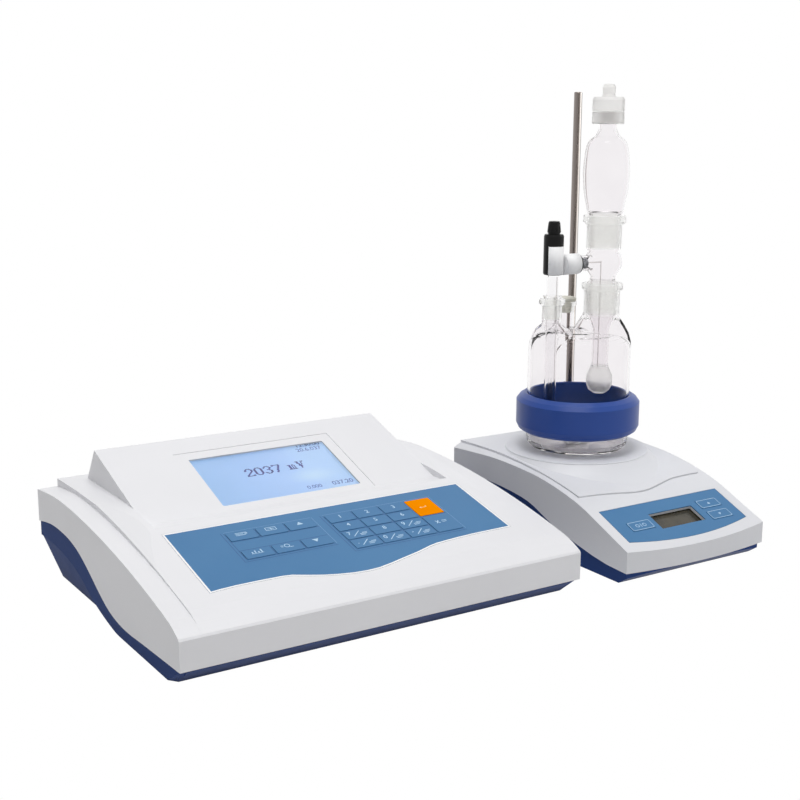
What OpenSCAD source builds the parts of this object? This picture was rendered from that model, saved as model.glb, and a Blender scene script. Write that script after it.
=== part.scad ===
// Automatic titrator: a benchtop controller with a sloping keypad and screen hood, and a
// magnetic stirrer beside it that carries a glass titration cell on a support rod.
// Millimetres. X is left to right, Y front to back, Z up from the bench.
// The footprint is centred on X and Y, and the feet stand on Z = 0.

/* [Controller housing] */
// Controller width, side to side
controller_w = 360; // [350:1:380]
// Controller depth, front to back
controller_d = 306; // [298:1:320]
// Height of the cover's front top edge
front_h = 40.1; // [38:0.5:43]
// Height of the outer shoulders at their highest
shoulder_h = 78.3; // [77:0.5:81]
// Height of the raised centre panel
raised_h = 82; // [81:0.5:84]
// Width of each outer shoulder step
shoulder_w = 18; // [14:1:20]
// Height of the screen hood's rear edge
hood_h = 111; // [108:0.5:115]
// Side margin of the screen hood
hood_margin = 40.5; // [36:0.5:44]
// Height of the cover's lower edge at the front
lip_front_h = 15.7; // [14:0.5:17]
// Height of the cover's lower edge at the rear arch
lip_rear_h = 51.6; // [49:0.5:53]
// Set-back of the base's front at the bench
base_set = 18; // [16:0.5:20]
// Wall thickness of the mouldings
wall = 2.5; // [2.2:0.1:2.8]
// Roof thickness, measured upright
roof = 3.3; // [3.2:0.1:3.6]
// Gap between a moulding and the moulding inside it
shell_gap = 0.3; // [0.2:0.05:0.4]

/* [Keypad] */
// Width of the keypad overlay
overlay_w = 279.5; // [275:0.5:284]
// Left edge of the keypad overlay
overlay_x = 42; // [40:0.5:44]
// Thickness of both overlays
overlay_t = 1; // [0.8:0.1:1.2]
// Width of one number key cell
cell_w = 26.1; // [25:0.1:26.6]
// Depth of one key cell
cell_h = 14.3; // [13.8:0.1:14.8]
// Spacing left between key caps
key_space = 1.8; // [1.7:0.1:2.4]
// Running gap round each key cap
key_gap = 0.3; // [0.25:0.05:0.35]
// How far the caps stand above the overlay
key_proud = 0.3; // [0.2:0.05:0.4]

/* [Display] */
// Width of the display window
window_w = 133.2; // [126:0.5:136]
// Height of the display window along the slope
window_h = 74.4; // [70:0.5:76]
// Left edge of the display window
window_x = 113.4; // [108:0.5:118]

/* [Stirrer] */
// Space between controller and stirrer
unit_gap = 45.6; // [30:1:60]
// Stirrer width
stirrer_w = 165; // [162:1:172]
// Stirrer depth at its sides
stirrer_d = 257.5; // [252:0.5:264]
// Depth of the vessel's axis behind the stirrer's front corners
vessel_back = 167.5; // [165:0.5:170]
// Height of the vessel platform
platform_h = 79.2; // [79:0.2:81]
// Radius of the vessel platform
platform_r = 69; // [66:0.5:71]
// Height of the stirrer shoulders at their highest
stirrer_h = 73.3; // [72:0.5:74.5]

/* [Titration cell] */
// Outer radius of the vessel
vessel_r = 49; // [47:0.5:50]
// Glass thickness
glass = 2.3; // [2:0.1:2.6]
// Height of the vessel's straight wall top
vessel_wall_h = 178; // [172:1:184]
// Height of the main neck's rim
neck_top = 237.5; // [234:0.5:241]
// Radius of the support rod
rod_r = 4; // [3.5:0.1:4.5]
// Height of the rod's top
rod_top = 417.6; // [412:1:422]
// Running clearance of the clamp on the rod
rod_gap = 0.06; // [0.04:0.01:0.08]
// Clearance between ground joints
joint_gap = 0.09; // [0.06:0.01:0.12]
// Thickness of the ring round the vessel
ring_t = 10.1; // [9:0.1:12]
// Height of the ring round the vessel
ring_h = 36.6; // [34:0.2:40]
// Length of the stir bar
bar_len = 30; // [24:1:34]
// Mouth radius of the main ground joint
joint_r = 14.9; // [14.5:0.1:15.3]
// Length of the main ground joint
joint_len = 28; // [26:0.5:30]
// Mouth radius of the electrode's ground joint
stem_joint_r = 7.4; // [7.2:0.1:7.6]
// Length of the electrode's ground joint
stem_joint_len = 20; // [18:0.5:21]
// Radius of the electrode's stem
stem_r = 5.5; // [5.2:0.1:5.8]
// Height of the electrode stem's foot
stem_foot = 112; // [108:1:120]
// Radius of the electrode's head
head_r = 9.4; // [9:0.1:10]
// Length of the electrode's head
head_len = 35.7; // [33:0.1:38]
// Radius of the cathode chamber and of the frosted bulb at its foot
sleeve_r = 12.8; // [12.2:0.1:13.1]
// Radius of the stalk between the chamber and its bulb
stalk_r = 8; // [7:0.1:8.6]
// Height of the cathode chamber's foot
chamber_foot = 129; // [124:1:136]
// Length of the cathode chamber above the vessel's neck
chamber_rise = 64.7; // [62:0.1:68]
// Radius of the drying tube's bulb
bulb_r = 22; // [20.5:0.1:23.5]
// Length of the drying tube's bulb
bulb_len = 71; // [66:1:78]
// Wall of the drying tube
tube_wall = 1.8; // [1.6:0.1:2]
// Radius of the drying tube's cap
cap_r = 15; // [14:0.2:16]
// Height of the drying tube's cap
cap_h = 11.5; // [10:0.5:13]
// Height of the stopper above the cap, with its knob
stopper_h = 25.2; // [23:0.2:27]

/* [Feet] */
// Radius of each rubber foot
foot_r = 8; // [6:0.5:9]
// Height of the mouldings above the bench
floor_z = 1.2; // [1:0.1:1.6]

/* [Hidden] */
$fn = 48;
W = controller_w;
D = controller_d;
SX = W + unit_gap;
SW = stirrer_w;
SY = -7;
SD = stirrer_d;
bow = 7;
total_w = SX + SW;
jack_out = 9.1;
mid_y = (D + jack_out + SY - bow) / 2;
floor_top = floor_z + wall;

function cr(a, b, c, d, t) = 0.5 * (2 * b + (c - a) * t + (2 * a - 5 * b + 4 * c - d) * t * t
  + (3 * b - a - 3 * c + d) * t * t * t);
function spline(P, n = 3) = let(m = len(P)) concat([for (i = [0:m - 2]) for (k = [0:n - 1])
  cr(P[max(i - 1, 0)], P[i], P[i + 1], P[min(i + 2, m - 1)], k / n)], [P[m - 1]]);
function rev(P) = [for (i = [len(P) - 1:-1:0]) P[i]];
function lift(P, dz) = [for (p = P) [p[0], p[1] + dz]];
function clipy(P, a, b) = [for (p = P) [min(max(p[0], a), b), p[1]]];
function scaled(T, d, lo, hi) = [for (p = T) [p[0] * d, lo + p[1] * (hi - lo)]];

// Side outlines of the controller, front to back
shoulder_t = [[0.004, 0.008], [0.057, 0.199], [0.173, 0.421], [0.296, 0.615], [0.428, 0.777],
  [0.569, 0.906], [0.722, 0.99], [0.85, 1], [1, 0.89]];
shoulder_p = concat([[0, front_h - 1.3]], spline(scaled(shoulder_t, D, front_h, shoulder_h)));
lift_t = [[0, 0], [0.04, 0.1], [0.33, 1], [0.65, 3], [0.84, 5], [1, 7.5]];
low_p = [for (p = shoulder_p) [p[0], p[1] + lookup(p[0] / D, lift_t)]];
deck0 = [0.078 * D, front_h + 0.252 * (raised_h - front_h)];
deck1 = [0.431 * D, front_h + 0.838 * (raised_h - front_h)];
high_front = spline(scaled([[0.004, 0.01], [0.04, 0.14], [0.078, 0.252]], D, front_h, raised_h), 2);
high_rear = spline(scaled([[0.431, 0.838], [0.49, 0.905], [0.549, 0.955], [0.62, 0.985],
  [0.72, 1], [0.886, 1], [1, 0.976]], D, front_h, raised_h), 2);
high_p = concat([[0, front_h - 1.3]], high_front, high_rear);
lower_t = [[0, 0], [0.124, -0.039], [0.235, -0.078], [0.314, -0.11], [0.382, -0.086],
  [0.449, 0.014], [0.516, 0.237], [0.588, 0.54], [0.66, 0.8], [0.735, 0.95], [0.817, 1],
  [0.9, 0.975], [1, 0.83]];
lower_p = spline(scaled(lower_t, D, lip_front_h, lip_rear_h));
band_t = [[0, 0], [0.39, 0], [0.43, 0.03], [0.507, 0.17], [0.585, 0.37], [0.657, 0.657],
  [0.742, 0.872], [0.846, 0.987], [0.93, 1], [1, 0.985]];
band_p = scaled([for (p = band_t) p], D, floor_z, lip_rear_h - 18.3);
band_s = concat([[base_set, floor_z]], spline([for (i = [1:9]) band_p[i]]));
feet_xy = [[48, 34], [W - 48, 34], [30, D - 60], [W - 30, D - 60]];

// The flat keypad slope
deck_a = atan2(deck1[1] - deck0[1], deck1[0] - deck0[0]);
deck_len = norm(deck1 - deck0);
wave_t = [[0, 90.4], [22, 88.5], [61, 88.7], [73, 91.7], [91, 98.1], [115, 103.2], [138, 103.4],
  [164, 97.1], [182, 92.5], [197, 87.6], [211, 85.5], [239, 83.5], [279.5, 83]];
wave_p = spline([for (p = wave_t) [p[0] * overlay_w / 279.5, -p[1]]], 2);
num_x = 135.2 * overlay_w / 279.5;
sel_x = 45.6 * overlay_w / 279.5;
row_y = -14.7;
key_w = cell_w - key_space;
pad_t = 0.8;
board_n = -roof * cos(deck_a) - 0.1;

// The screen slope
hood_a = 18.78;
hood_y = 0.8856 * D;
win_top = 35;
win_foot = 7.8;
hood_y0 = hood_y - (win_top + window_h + win_foot) * cos(hood_a);

// Name, column, row, width in cells and height in cells of each controller key
KEYS = concat(
  [for (r = [0:3]) for (c = [0:2]) [str("key_number_", 3 * r + c + 1), num_x + c * cell_w,
    row_y - r * cell_h, 1]],
  [for (r = [0:1]) for (c = [0:2]) [str("key_select_", 3 * r + c + 1), sel_x + c * cell_w,
    row_y - 2 * r * cell_h, 1]],
  [["key_enter", num_x + 3 * cell_w, row_y, 2],
   ["key_cancel", num_x + 3 * cell_w, row_y - 2 * cell_h, 2]]);

// Stirrer outlines
st_deck0 = [-14, 29.7];
st_deck1 = [48, 55.3];
st_a = atan2(st_deck1[1] - st_deck0[1], st_deck1[0] - st_deck0[0]);
function sty(t) = SY + t * SD;
stop_rear = spline([for (p = [[0.2136, -18], [0.268, -13.4], [0.357, -7.9], [0.4738, -2.9],
  [0.598, -0.7], [0.7262, 0], [0.8621, -1.5], [1, -3.9]]) [sty(p[0]), stirrer_h + p[1]]], 3);
st_top = concat([[SY - bow - 1, st_deck0[1] - tan(st_a) * (SY - bow - 1 - st_deck0[0]) * -1]],
  stop_rear);
st_lift = [[0, 1], [0.42, 1], [0.5, 1.3], [0.65, 2.8], [0.83, 5], [1, 6.5]];
st_raised = [for (p = st_top) [p[0], p[1] + lookup((p[0] - SY) / SD, st_lift)]];
st_foot = [for (p = st_top) [p[0], max(p[1], lookup(p[0], st_raised) - 1.2)]];
st_low = spline([for (p = [[-0.06, 13], [0.098, 14.5], [0.245, 21], [0.394, 30.8], [0.496, 40.9],
  [0.574, 45.4], [0.688, 48], [0.8, 49], [0.9, 49], [1, 48.3]]) [sty(p[0]), p[1]]], 2);
sov_w = SW - 23;
sov_x = SX + 11.5;
sk = sov_w / 142;
SKEYS = [["stirrer_key_power", 27.3 * sk, -26.6, 26 * sk, 12],
  ["stirrer_key_up", 118.3 * sk, -16.9, 25 * sk, 11.5],
  ["stirrer_key_down", 118.3 * sk, -33, 25 * sk, 11.5]];
// Middle and size of the stirrer's small window
sw_at = [71.5 * sk, -25.7];
sw_size = [52.5 * sk, 21.2];
display_n = 4.3;

// The cell stands at the middle of the platform
CX = SX + SW / 2;
CY = SY + vessel_back;
vessel_z = platform_h + 0.3;
neck_x = vessel_r - 22.6;
el_x = 14 - vessel_r;
sep_x = 6.4;
sep_y = vessel_r - 19.5;
ring_r = vessel_r + 0.1 + ring_t;
rod_d = ring_r + 10.8;
rod_a = 56.8;
rod_x = CX + rod_d * cos(rod_a);
rod_y = CY + rod_d * sin(rod_a);
ring_z = platform_h + 17.3;
lug_z = ring_z + ring_h / 2 + 0.2;
dome_h = 15.4;
el_rim = neck_top - 10.8;
sep_rim = neck_top - 19.5;
sep_r = 5.6;
arm_r = 7.4;
arm_len = 35;
head_z = el_rim + 22.65;
cord_cap_h = 10.5;
chamber_top = neck_top + chamber_rise;
lead_z = neck_top + 20.5;
tube_in = bulb_r - tube_wall;
bulb_z = chamber_top + 3.7;
bulb_top = bulb_z + bulb_len;
tip_r = 8.3;
tip_top = bulb_top + 20.5;
cap_z = tip_top - 10;
cap_top = cap_z + cap_h;

// ---- helpers -------------------------------------------------------------------------------

module place() translate([-total_w / 2, -mid_y, 0]) children();
module along_x(a, b, P) translate([a, 0, 0]) rotate([90, 0, 90]) linear_extrude(b - a) polygon(P);
module along_y(a, b, P) translate([0, b, 0]) rotate([90, 0, 0]) linear_extrude(b - a) polygon(P);
module box(x0, x1, y0, y1, z0, z1) translate([x0, y0, z0]) cube([x1 - x0, y1 - y0, z1 - z0]);
module disc(x, y, z0, z1, r) translate([x, y, z0]) cylinder(h = z1 - z0, r = r);
module rounded(w, h, r) {
  translate([-w / 2 + r, -h / 2]) square([w - 2 * r, h]);
  translate([-w / 2, -h / 2 + r]) square([w, h - 2 * r]);
  for (x = [-1, 1]) for (y = [-1, 1]) translate([x * (w / 2 - r), y * (h / 2 - r)]) circle(r);
}
module slab(w, h, r, z0, z1) translate([0, 0, z0]) linear_extrude(z1 - z0) rounded(w, h, r);

// Origin at the overlay's rear left corner, Y up the slope, Z out of the surface
module on_deck() translate([overlay_x, deck0[0], deck0[1]]) rotate([deck_a, 0, 0])
  translate([0, deck_len - 4.7, 0]) children();
// Origin at the middle of the display window on the screen slope
module on_hood() translate([window_x + window_w / 2, hood_y, hood_h]) rotate([hood_a, 0, 0])
  translate([0, -win_top - window_h / 2, 0]) children();
// Origin at the stirrer overlay's rear left corner
module on_stirrer() translate([sov_x, st_deck1[0], st_deck1[1]]) rotate([st_a, 0, 0])
  translate([0, -4.8, 0]) children();

// ---- controller ----------------------------------------------------------------------------

module overlay_shape(g) polygon(concat([[-g, g], [-g, wave_p[0][1] - g]],
  [for (p = wave_p) [min(max(p[0], 0), overlay_w), p[1] - g]],
  [[overlay_w + g, -83 - g], [overlay_w + g, g]]));

module raised_block() intersection() {
  along_x(shoulder_w, W - shoulder_w, concat(high_p, rev(lower_p)));
  translate([shoulder_w, 0, 0]) rotate([0, -9.4, 0])
    along_x(-20, W, concat(low_p, [[D, -90], [0, -90]]));
  translate([W - shoulder_w, 0, 0]) mirror([1, 0, 0]) rotate([0, -9.4, 0])
    along_x(-20, W, concat(low_p, [[D, -90], [0, -90]]));
}

// The screen slope, with the shallow dish in front of it
slope_foot = hood_h - tan(hood_a) * (hood_y - hood_y0);
screen_line = [[hood_y0 - 20.8, 0.86 * (raised_h - front_h) + front_h],
  [hood_y0 - 10.1, slope_foot + 0.2], [hood_y0, slope_foot], [hood_y, hood_h]];

module cover_outside() {
  difference() {
    union() {
      along_x(0, W, concat(shoulder_p, rev(lower_p)));
      raised_block();
      along_x(hood_margin, W - hood_margin, [[hood_y0 - 7, 62], [hood_y0 - 7, 74],
        [hood_y - 3, hood_h + 0.02], [hood_y, hood_h], [hood_y + 20, raised_h - 0.5],
        [hood_y + 20, 62]]);
    }
    along_x(hood_margin, W - hood_margin, concat(screen_line, [[hood_y, hood_h + 30],
      [hood_y0 - 20.8, hood_h + 30]]));
  }
}

module cover_inside() {
  along_x(wall, W - wall, concat(clipy(lift(shoulder_p, -roof), wall, D - wall),
    rev(clipy(lift(lower_p, -3), wall, D - wall))));
  along_x(shoulder_w + 3, W - shoulder_w - 3, concat(clipy(lift(low_p, -roof), wall, D - wall),
    [[D - wall, 50], [wall, 25]]));
  along_x(hood_margin + 4, W - hood_margin - 4, concat([[wall + 2, front_h - roof + 0.5]],
    lift([for (p = high_front) if (p[0] > 8) p], -roof), lift([deck1], -roof),
    [screen_line[0] - [0, roof + 1.2], screen_line[1] - [0, roof + 0.4],
     screen_line[2] - [0, roof + 0.3], [hood_y - 2, hood_h - roof - 0.9],
     [hood_y + 16.5, raised_h - roof], [D - wall, raised_h - roof - 1], [D - wall, 50],
     [wall + 2, 25]]));
}

// Rear ports: mains inlet, rocker switch, electrode sockets and serial connector
port_z = 54.5;
inlet_x = 90;
rocker_x = 122;
rocker_w = 13;
jack_x = 160;
jack_step = 24;
serial_x = 262;

boss_xy = [[26, 34, 24], [W - 26, 34, 24], [26, D - 34, 50], [W - 26, D - 34, 50]];

module controller_cover() color("gainsboro") place() {
  difference() {
    union() {
      difference() {
        cover_outside();
        cover_inside();
      }
      intersection() {
        cover_outside();
        for (b = boss_xy) disc(b[0], b[1], b[2], hood_h, 4);
      }
      on_hood() for (x = [-1, 1]) for (y = [-1, 1])
        translate([x * (window_w / 2 + 7), y * (window_h / 2 - 4), -9.2]) cylinder(h = 6.6, r = 3);
      on_deck() for (x = [sel_x - 5, num_x + 4 * cell_w + 5]) for (y = [-24, -58])
        translate([x, y, board_n - 2.2]) cylinder(h = 2.8, r = 1.2);
    }
    for (b = boss_xy) disc(b[0], b[1], b[2] - 1, b[2] + 12, 1.55);
    on_deck() {
      translate([0, 0, -overlay_t]) linear_extrude(6) overlay_shape(0.5);
      translate([sel_x - 0.5, row_y - 3 * cell_h - 0.5, -4.5])
        cube([3 * cell_w + 1, 3 * cell_h + 1, 4]);
      translate([num_x - 0.5, row_y - 4 * cell_h - 0.5, -4.5])
        cube([4 * cell_w + 1, 4 * cell_h + 1, 4]);
    }
    on_hood() {
      slab(window_w, window_h, 1.5, -6, 4);
      slab(window_w + 6.3, window_h + 6.3, 2.5, -6, -1.3);
      translate([-window_w / 2 - 10, window_h / 2 + 10.6, -0.7])
        cube([window_w + 21, 0.9, 4]);
      translate([window_w / 2 + 10.2, -window_h / 2 - 7, -0.7]) cube([0.9, window_h + 18, 4]);
    }
    box(60, W - 60, D - 6, D + 1, 0, 71);
  }
}

module base_inside() {
  along_x(wall + shell_gap + 2, W - wall - shell_gap - 2,
    concat(clipy(lift(band_s, wall), base_set + 1, D - 4.8), [[D - 4.8, 95], [6.8, 95],
      [6.8, lip_front_h - 1]]));
  intersection() {
    along_x(0, W, [[base_set + 1, floor_top], [0.892 * D, floor_top], [D - 4.8, 36],
      [D - 4.8, 95], [6.8, 95], [6.8, lip_front_h - 1]]);
    along_y(0, D, [[12.2, floor_top], [W - 12.2, floor_top], [W - 4.8, 36], [W - 4.8, 95],
      [4.8, 95], [4.8, 36]]);
  }
}

// Cuts the base's front corner to a slope
module corner_cut() translate([1, base_set + 7, floor_z]) rotate([0, 133.9, 217.1])
  translate([-30, -30, 0]) cube([60, 60, 20]);

module controller_base() color("navy") place() {
  difference() {
    union() {
      difference() {
        union() {
          along_x(1, W - 1, clipy(concat(lift(lower_p, -0.5), rev(band_s)), 3, D - 1));
          intersection() {
            along_x(0, W, concat([[base_set + 0.5, floor_z], [0.902 * D, floor_z],
              [D - 1.5, 34]], rev(clipy(lift(lower_p, -2), 3.5, D - 1.5))));
            along_y(0, D, [[9, floor_z], [W - 9, floor_z], [W - 1.5, 34], [W - 1.5, 60],
              [1.5, 60], [1.5, 34]]);
          }
          along_x(wall + shell_gap, W - wall - shell_gap, clipy(concat(lift(lower_p, 4),
            rev(lift(lower_p, -1))), 4, D - wall - shell_gap));
        }
        base_inside();
      }
      for (b = boss_xy) disc(b[0], b[1], floor_z, b[2] - 0.1, 4.5);
      for (x = [6, main_size[0] - 6]) for (y = [6, main_size[1] - 6])
        disc(main_at[0] + x, main_at[1] + y, floor_z + 0.5, 10, 3.5);
    }
    for (b = boss_xy) {
      disc(b[0], b[1], 0, b[2] + 1, 1.8);
      disc(b[0], b[1], 0, floor_z + 4, 3.2);
    }
    for (p = feet_xy) disc(p[0], p[1], 0, floor_z + 1.5, foot_r + 0.05);
    corner_cut();
    translate([W, 0, 0]) mirror([1, 0, 0]) corner_cut();
    box(60, W - 60, D - 9, D + 1, 38, 80);
  }
}

module rear_panel() color("dimgray") place() difference() {
  union() {
    box(60.2, W - 60.2, D - 2.7, D - 0.4, 38.2, 70.8);
    box(56, W - 56, D - 4.3, D - 2.7, port_z + 12.5, 74);
  }
  translate([inlet_x, 0, port_z]) box(-14.1, 14.1, D - 6, D + 1, -10.6, 10.6);
  translate([rocker_x, 0, port_z]) box(-9.1, 9.1, D - 6, D + 1, -10.6, 10.6);
  for (i = [0:2]) translate([jack_x + jack_step * i, 0, port_z]) box(-6.1, 6.1, D - 6, D + 1,
    -6.1, 6.1);
  translate([serial_x, 0, port_z]) box(-13.2, 13.2, D - 6, D + 1, -5.2, 5.2);
}

module power_inlet() color("black") place() translate([0, D, port_z]) difference() {
  union() {
    translate([inlet_x, 0, 0]) box(-14, 14, -26, -0.4, -10.5, 10.5);
    translate([rocker_x, 0, 0]) box(-9, 9, -20, -0.4, -10.5, 10.5);
    box(inlet_x + 13, rocker_x - 8, -20, -4.4, -10.5, 10.5);
    box(inlet_x - 18, rocker_x + 13, -0.4, 1.2, -13.5, 13.5);
  }
  translate([inlet_x, 0, 0]) box(-12, 12, -16, 2, -8, 8);
  translate([rocker_x, 0, 0]) {
    box(-rocker_w / 2 - 0.4, rocker_w / 2 + 0.4, -18, 2, -9.2, 9.2);
    translate([-rocker_w / 2 - 2, -4.6, 0]) rotate([0, 90, 0])
      cylinder(h = rocker_w + 4, r = 1.3);
  }
}

module power_rocker() color("black") place() translate([rocker_x, D - 4.6, port_z])
  rotate([7, 0, 0]) {
    along_x(-rocker_w / 2, rocker_w / 2, [[-5, -5.4], [-5, 5.4], [2, 8.3], [7.6, 8.3], [5.4, 0],
      [7.6, -8.3], [2, -8.3]]);
    translate([-rocker_w / 2 - 1.7, 0, 0]) rotate([0, 90, 0])
      cylinder(h = rocker_w + 3.4, r = 1.2);
  }

module electrode_sockets() color("silver") place() for (i = [0:2])
  translate([jack_x + jack_step * i, D, port_z]) rotate([-90, 0, 0]) difference() {
    union() {
      translate([0, 0, -18]) cylinder(h = 18, r = 6);
      translate([0, 0, -0.4]) cylinder(h = 2, r = 9);
      translate([0, 0, -0.4]) cylinder(h = jack_out + 0.4, r = 5.8);
    }
    translate([0, 0, -4]) cylinder(h = jack_out + 5, r = 4);
  }

module serial_connector() color("silver") place() translate([serial_x, D, port_z]) difference() {
  union() {
    box(-13, 13, -12, 4.5, -5, 5);
    box(-17.5, 17.5, -0.4, 0.8, -6.5, 6.5);
  }
  box(-11.5, 11.5, -3, 6, -3.8, 3.8);
}

module display_window() color("lightblue", 0.4) place() on_hood()
  slab(window_w + 6, window_h + 6, 2.4, -2.9, -1.3);

module display_module() color("steelblue") place() on_hood() {
  slab(window_w + 6.4, window_h + 4, 1, -9.2, -3.4);
  difference() {
    slab(window_w + 21, window_h + 16, 2, -10.8, -9.2);
    for (x = [-1, 1]) for (y = [-1, 1])
      translate([x * (window_w / 2 + 7), y * (window_h / 2 - 4), -12]) cylinder(h = 4, r = 1.5);
  }
}

module keypad_overlay() color("steelblue") place() on_deck() difference() {
  translate([0, 0, -overlay_t]) linear_extrude(overlay_t) overlay_shape(0);
  for (k = KEYS) translate([k[1] + cell_w / 2, k[2] - k[3] * cell_h / 2, 0])
    slab(key_w + 2 * key_gap, k[3] * cell_h - key_space + 2 * key_gap, 1.3, -3, 2);
}

module keypad_board() color("darkgreen") place() on_deck() difference() {
  translate([sel_x - 9, row_y - 4 * cell_h - 4, board_n - 1.6])
    cube([num_x - sel_x + 4 * cell_w + 18, 4 * cell_h + 8, 1.6]);
  for (x = [sel_x - 5, num_x + 4 * cell_w + 5]) for (y = [-24, -58])
    translate([x, y, board_n - 3]) cylinder(h = 4, r = 1.3);
}

module deck_key(k) color(k[0] == "key_enter" ? "orange" : "steelblue") place() on_deck()
  translate([k[1] + cell_w / 2, k[2] - k[3] * cell_h / 2, 0])
    key_cap(key_w, k[3] * cell_h - key_space);

module key_cap(w, h) {
  slab(w, h, 1, -overlay_t - 0.05 - pad_t, key_proud);
  slab(w + 2 * key_gap + 0.8, h + 2 * key_gap + 0.8, 1, -overlay_t - 0.05 - pad_t,
    -overlay_t - 0.05);
  slab(6, 4, 1, board_n + 0.4, -overlay_t - 0.05 - pad_t);
}

// Inner boards and supply: place and size on the floor of the base
main_at = [46, 86];
main_size = [150, 152];
supply_at = [W - 145, 130];
supply_size = [110, 120];

module main_board() color("darkgreen") place() translate([main_at[0], main_at[1], 10]) {
  cube([main_size[0], main_size[1], 1.6]);
  box(24, 54, 24, 54, 1.6, 5);
  box(74, 104, 64, 94, 1.6, 4.5);
  box(14, main_size[0] - 16, main_size[1] - 16, main_size[1] - 6, 1.6, 10);
  for (i = [0:2]) disc(main_size[0] - 26, 24 + 18 * i, 1.6, 14, 6);
}

module power_supply() color("silver") place() translate([supply_at[0], supply_at[1], floor_top]) {
  cube([supply_size[0], supply_size[1], 1.6]);
  box(10, 60, 40, 90, 1.6, 36.3);
  box(supply_size[0] - 40, supply_size[0] - 10, 20, 100, 1.6, 22.3);
  disc(25, 18, 1.6, 26.3, 9);
}

module foot(x, y) disc(x, y, 0, floor_z + 1.5, foot_r);
st_feet = [[SX + 22, SY + 34], [SX + SW - 22, SY + 34], [SX + 22, SY + SD - 34],
  [SX + SW - 22, SY + SD - 34]];

module rubber_feet() color("black") place() {
  for (p = feet_xy) foot(p[0], p[1]);
  for (p = st_feet) foot(p[0], p[1]);
}

st_boss = [[SX + 14, SY + 62, 30], [SX + SW - 14, SY + 62, 30], [SX + 14, SY + SD - 50, 56],
  [SX + SW - 14, SY + SD - 50, 56]];

module screw(b) {
  disc(b[0], b[1], floor_z + 1, floor_z + 4, 3);
  disc(b[0], b[1], floor_z + 4, b[2] + 10, 1.5);
}

module housing_screws() color("silver") place() {
  for (b = boss_xy) screw(b);
  for (b = st_boss) screw(b);
}

// ---- stirrer -------------------------------------------------------------------------------

// Plan outline with its bowed front, inset by g
module st_plan(g, z0, z1) translate([0, 0, z0]) linear_extrude(z1 - z0) polygon(concat(
  [for (i = [0:14]) let(u = -1 + i / 7) [CX + u * (SW / 2 - g), SY - bow * (1 - u * u) + g]],
  [[SX + SW - g, SY + SD - g], [SX + g, SY + SD - g]]));

// Plan of the raised top with its waved front edge, grown by g
module st_wave(z0, z1, g = 0) translate([0, 0, z0]) linear_extrude(z1 - z0) polygon(concat(
  [[SX + 8 - g, 67.5 - g]], spline([for (p = [[8, 67.5], [30, 65.5], [52, 62], [68, 59],
    [85, 59.5], [103, 64], [120, 68.5], [138, 70], [157, 70]])
    [SX + p[0] * SW / 165, p[1] - g]], 2), [[SX + SW - 8 + g, 70 - g],
    [SX + SW - 8 + g, SY + SD + 1], [SX + 8 - g, SY + SD + 1]]));

// Left shoulder behind the vessel, sloping up to the foot of the raised top
module st_shoulder() difference() {
  along_x(SX, SX + 9, concat([for (p = st_foot) if (p[0] > 100) p], [[SY + SD, 60], [105, 60]]));
  for (i = [0:4]) let(y0 = sty(0.45 + 0.11 * i), y1 = sty(0.56 + 0.11 * i),
      z0 = lookup(y0, st_top), z1 = lookup(y1, st_top), m = (z1 - z0) / (y1 - y0),
      c = (lookup((y0 + y1) / 2, st_foot) - (z0 + z1) / 2) / 8)
    translate([SX, y0, z0]) rotate([asin(m / norm([c, m, 1])), -atan(c), 0])
      translate([-40, -250, 0]) cube([80, 500, 40]);
}

module st_outside() {
  difference() {
    intersection() {
      union() {
        along_x(SX, SX + SW, concat(st_top, rev(st_low)));
        st_shoulder();
        translate([2 * CX, 0, 0]) mirror([1, 0, 0]) st_shoulder();
        intersection() {
          along_x(SX + 8, SX + SW - 8, concat(st_raised, rev(st_low)));
          st_wave(10, 120);
        }
      }
      st_plan(0, 0, 120);
    }
    difference() {
      st_wave(45, 120, 0.8);
      st_wave(40, 130);
      along_x(SX, SX + SW, concat(lift(st_foot, -1), [[SY + SD, 20], [SY - bow - 1, 20]]));
    }
  }
  intersection() {
    translate([CX, CY, platform_h]) rotate_extrude() polygon(concat([[0, -19]],
      rev(spline([[platform_r, -1.3], [platform_r + 1.5, -2.9], [platform_r + 4, -5.3],
      [platform_r + 7, -7.9], [platform_r + 11, -10.7], [platform_r + 15, -13],
      [platform_r + 19, -14.9], [platform_r + 23, -16.6], [platform_r + 27, -18]], 2)),
      [[platform_r, -0.4], [platform_r - 0.6, 0], [0, 0]]));
    st_plan(0.5, 60, 120);
    along_x(SX + 5, SX + SW - 5, [[SY, 60], [SY + SD, 60], [SY + SD, 120], [SY, 120]]);
  }
}

module st_inside() intersection() {
  union() {
    along_x(SX + wall, SX + SW - wall, concat(lift(st_top, -roof - 0.5), rev(lift(st_low, -6))));
    along_x(SX + 11, SX + SW - 11, concat(lift([for (p = st_raised) if (p[0] > 75) p], -roof),
      [[SY + SD, 50], [75, 50]]));
    disc(CX, CY, 50, platform_h - 3, 36);
  }
  st_plan(wall, 0, 120);
}

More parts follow.
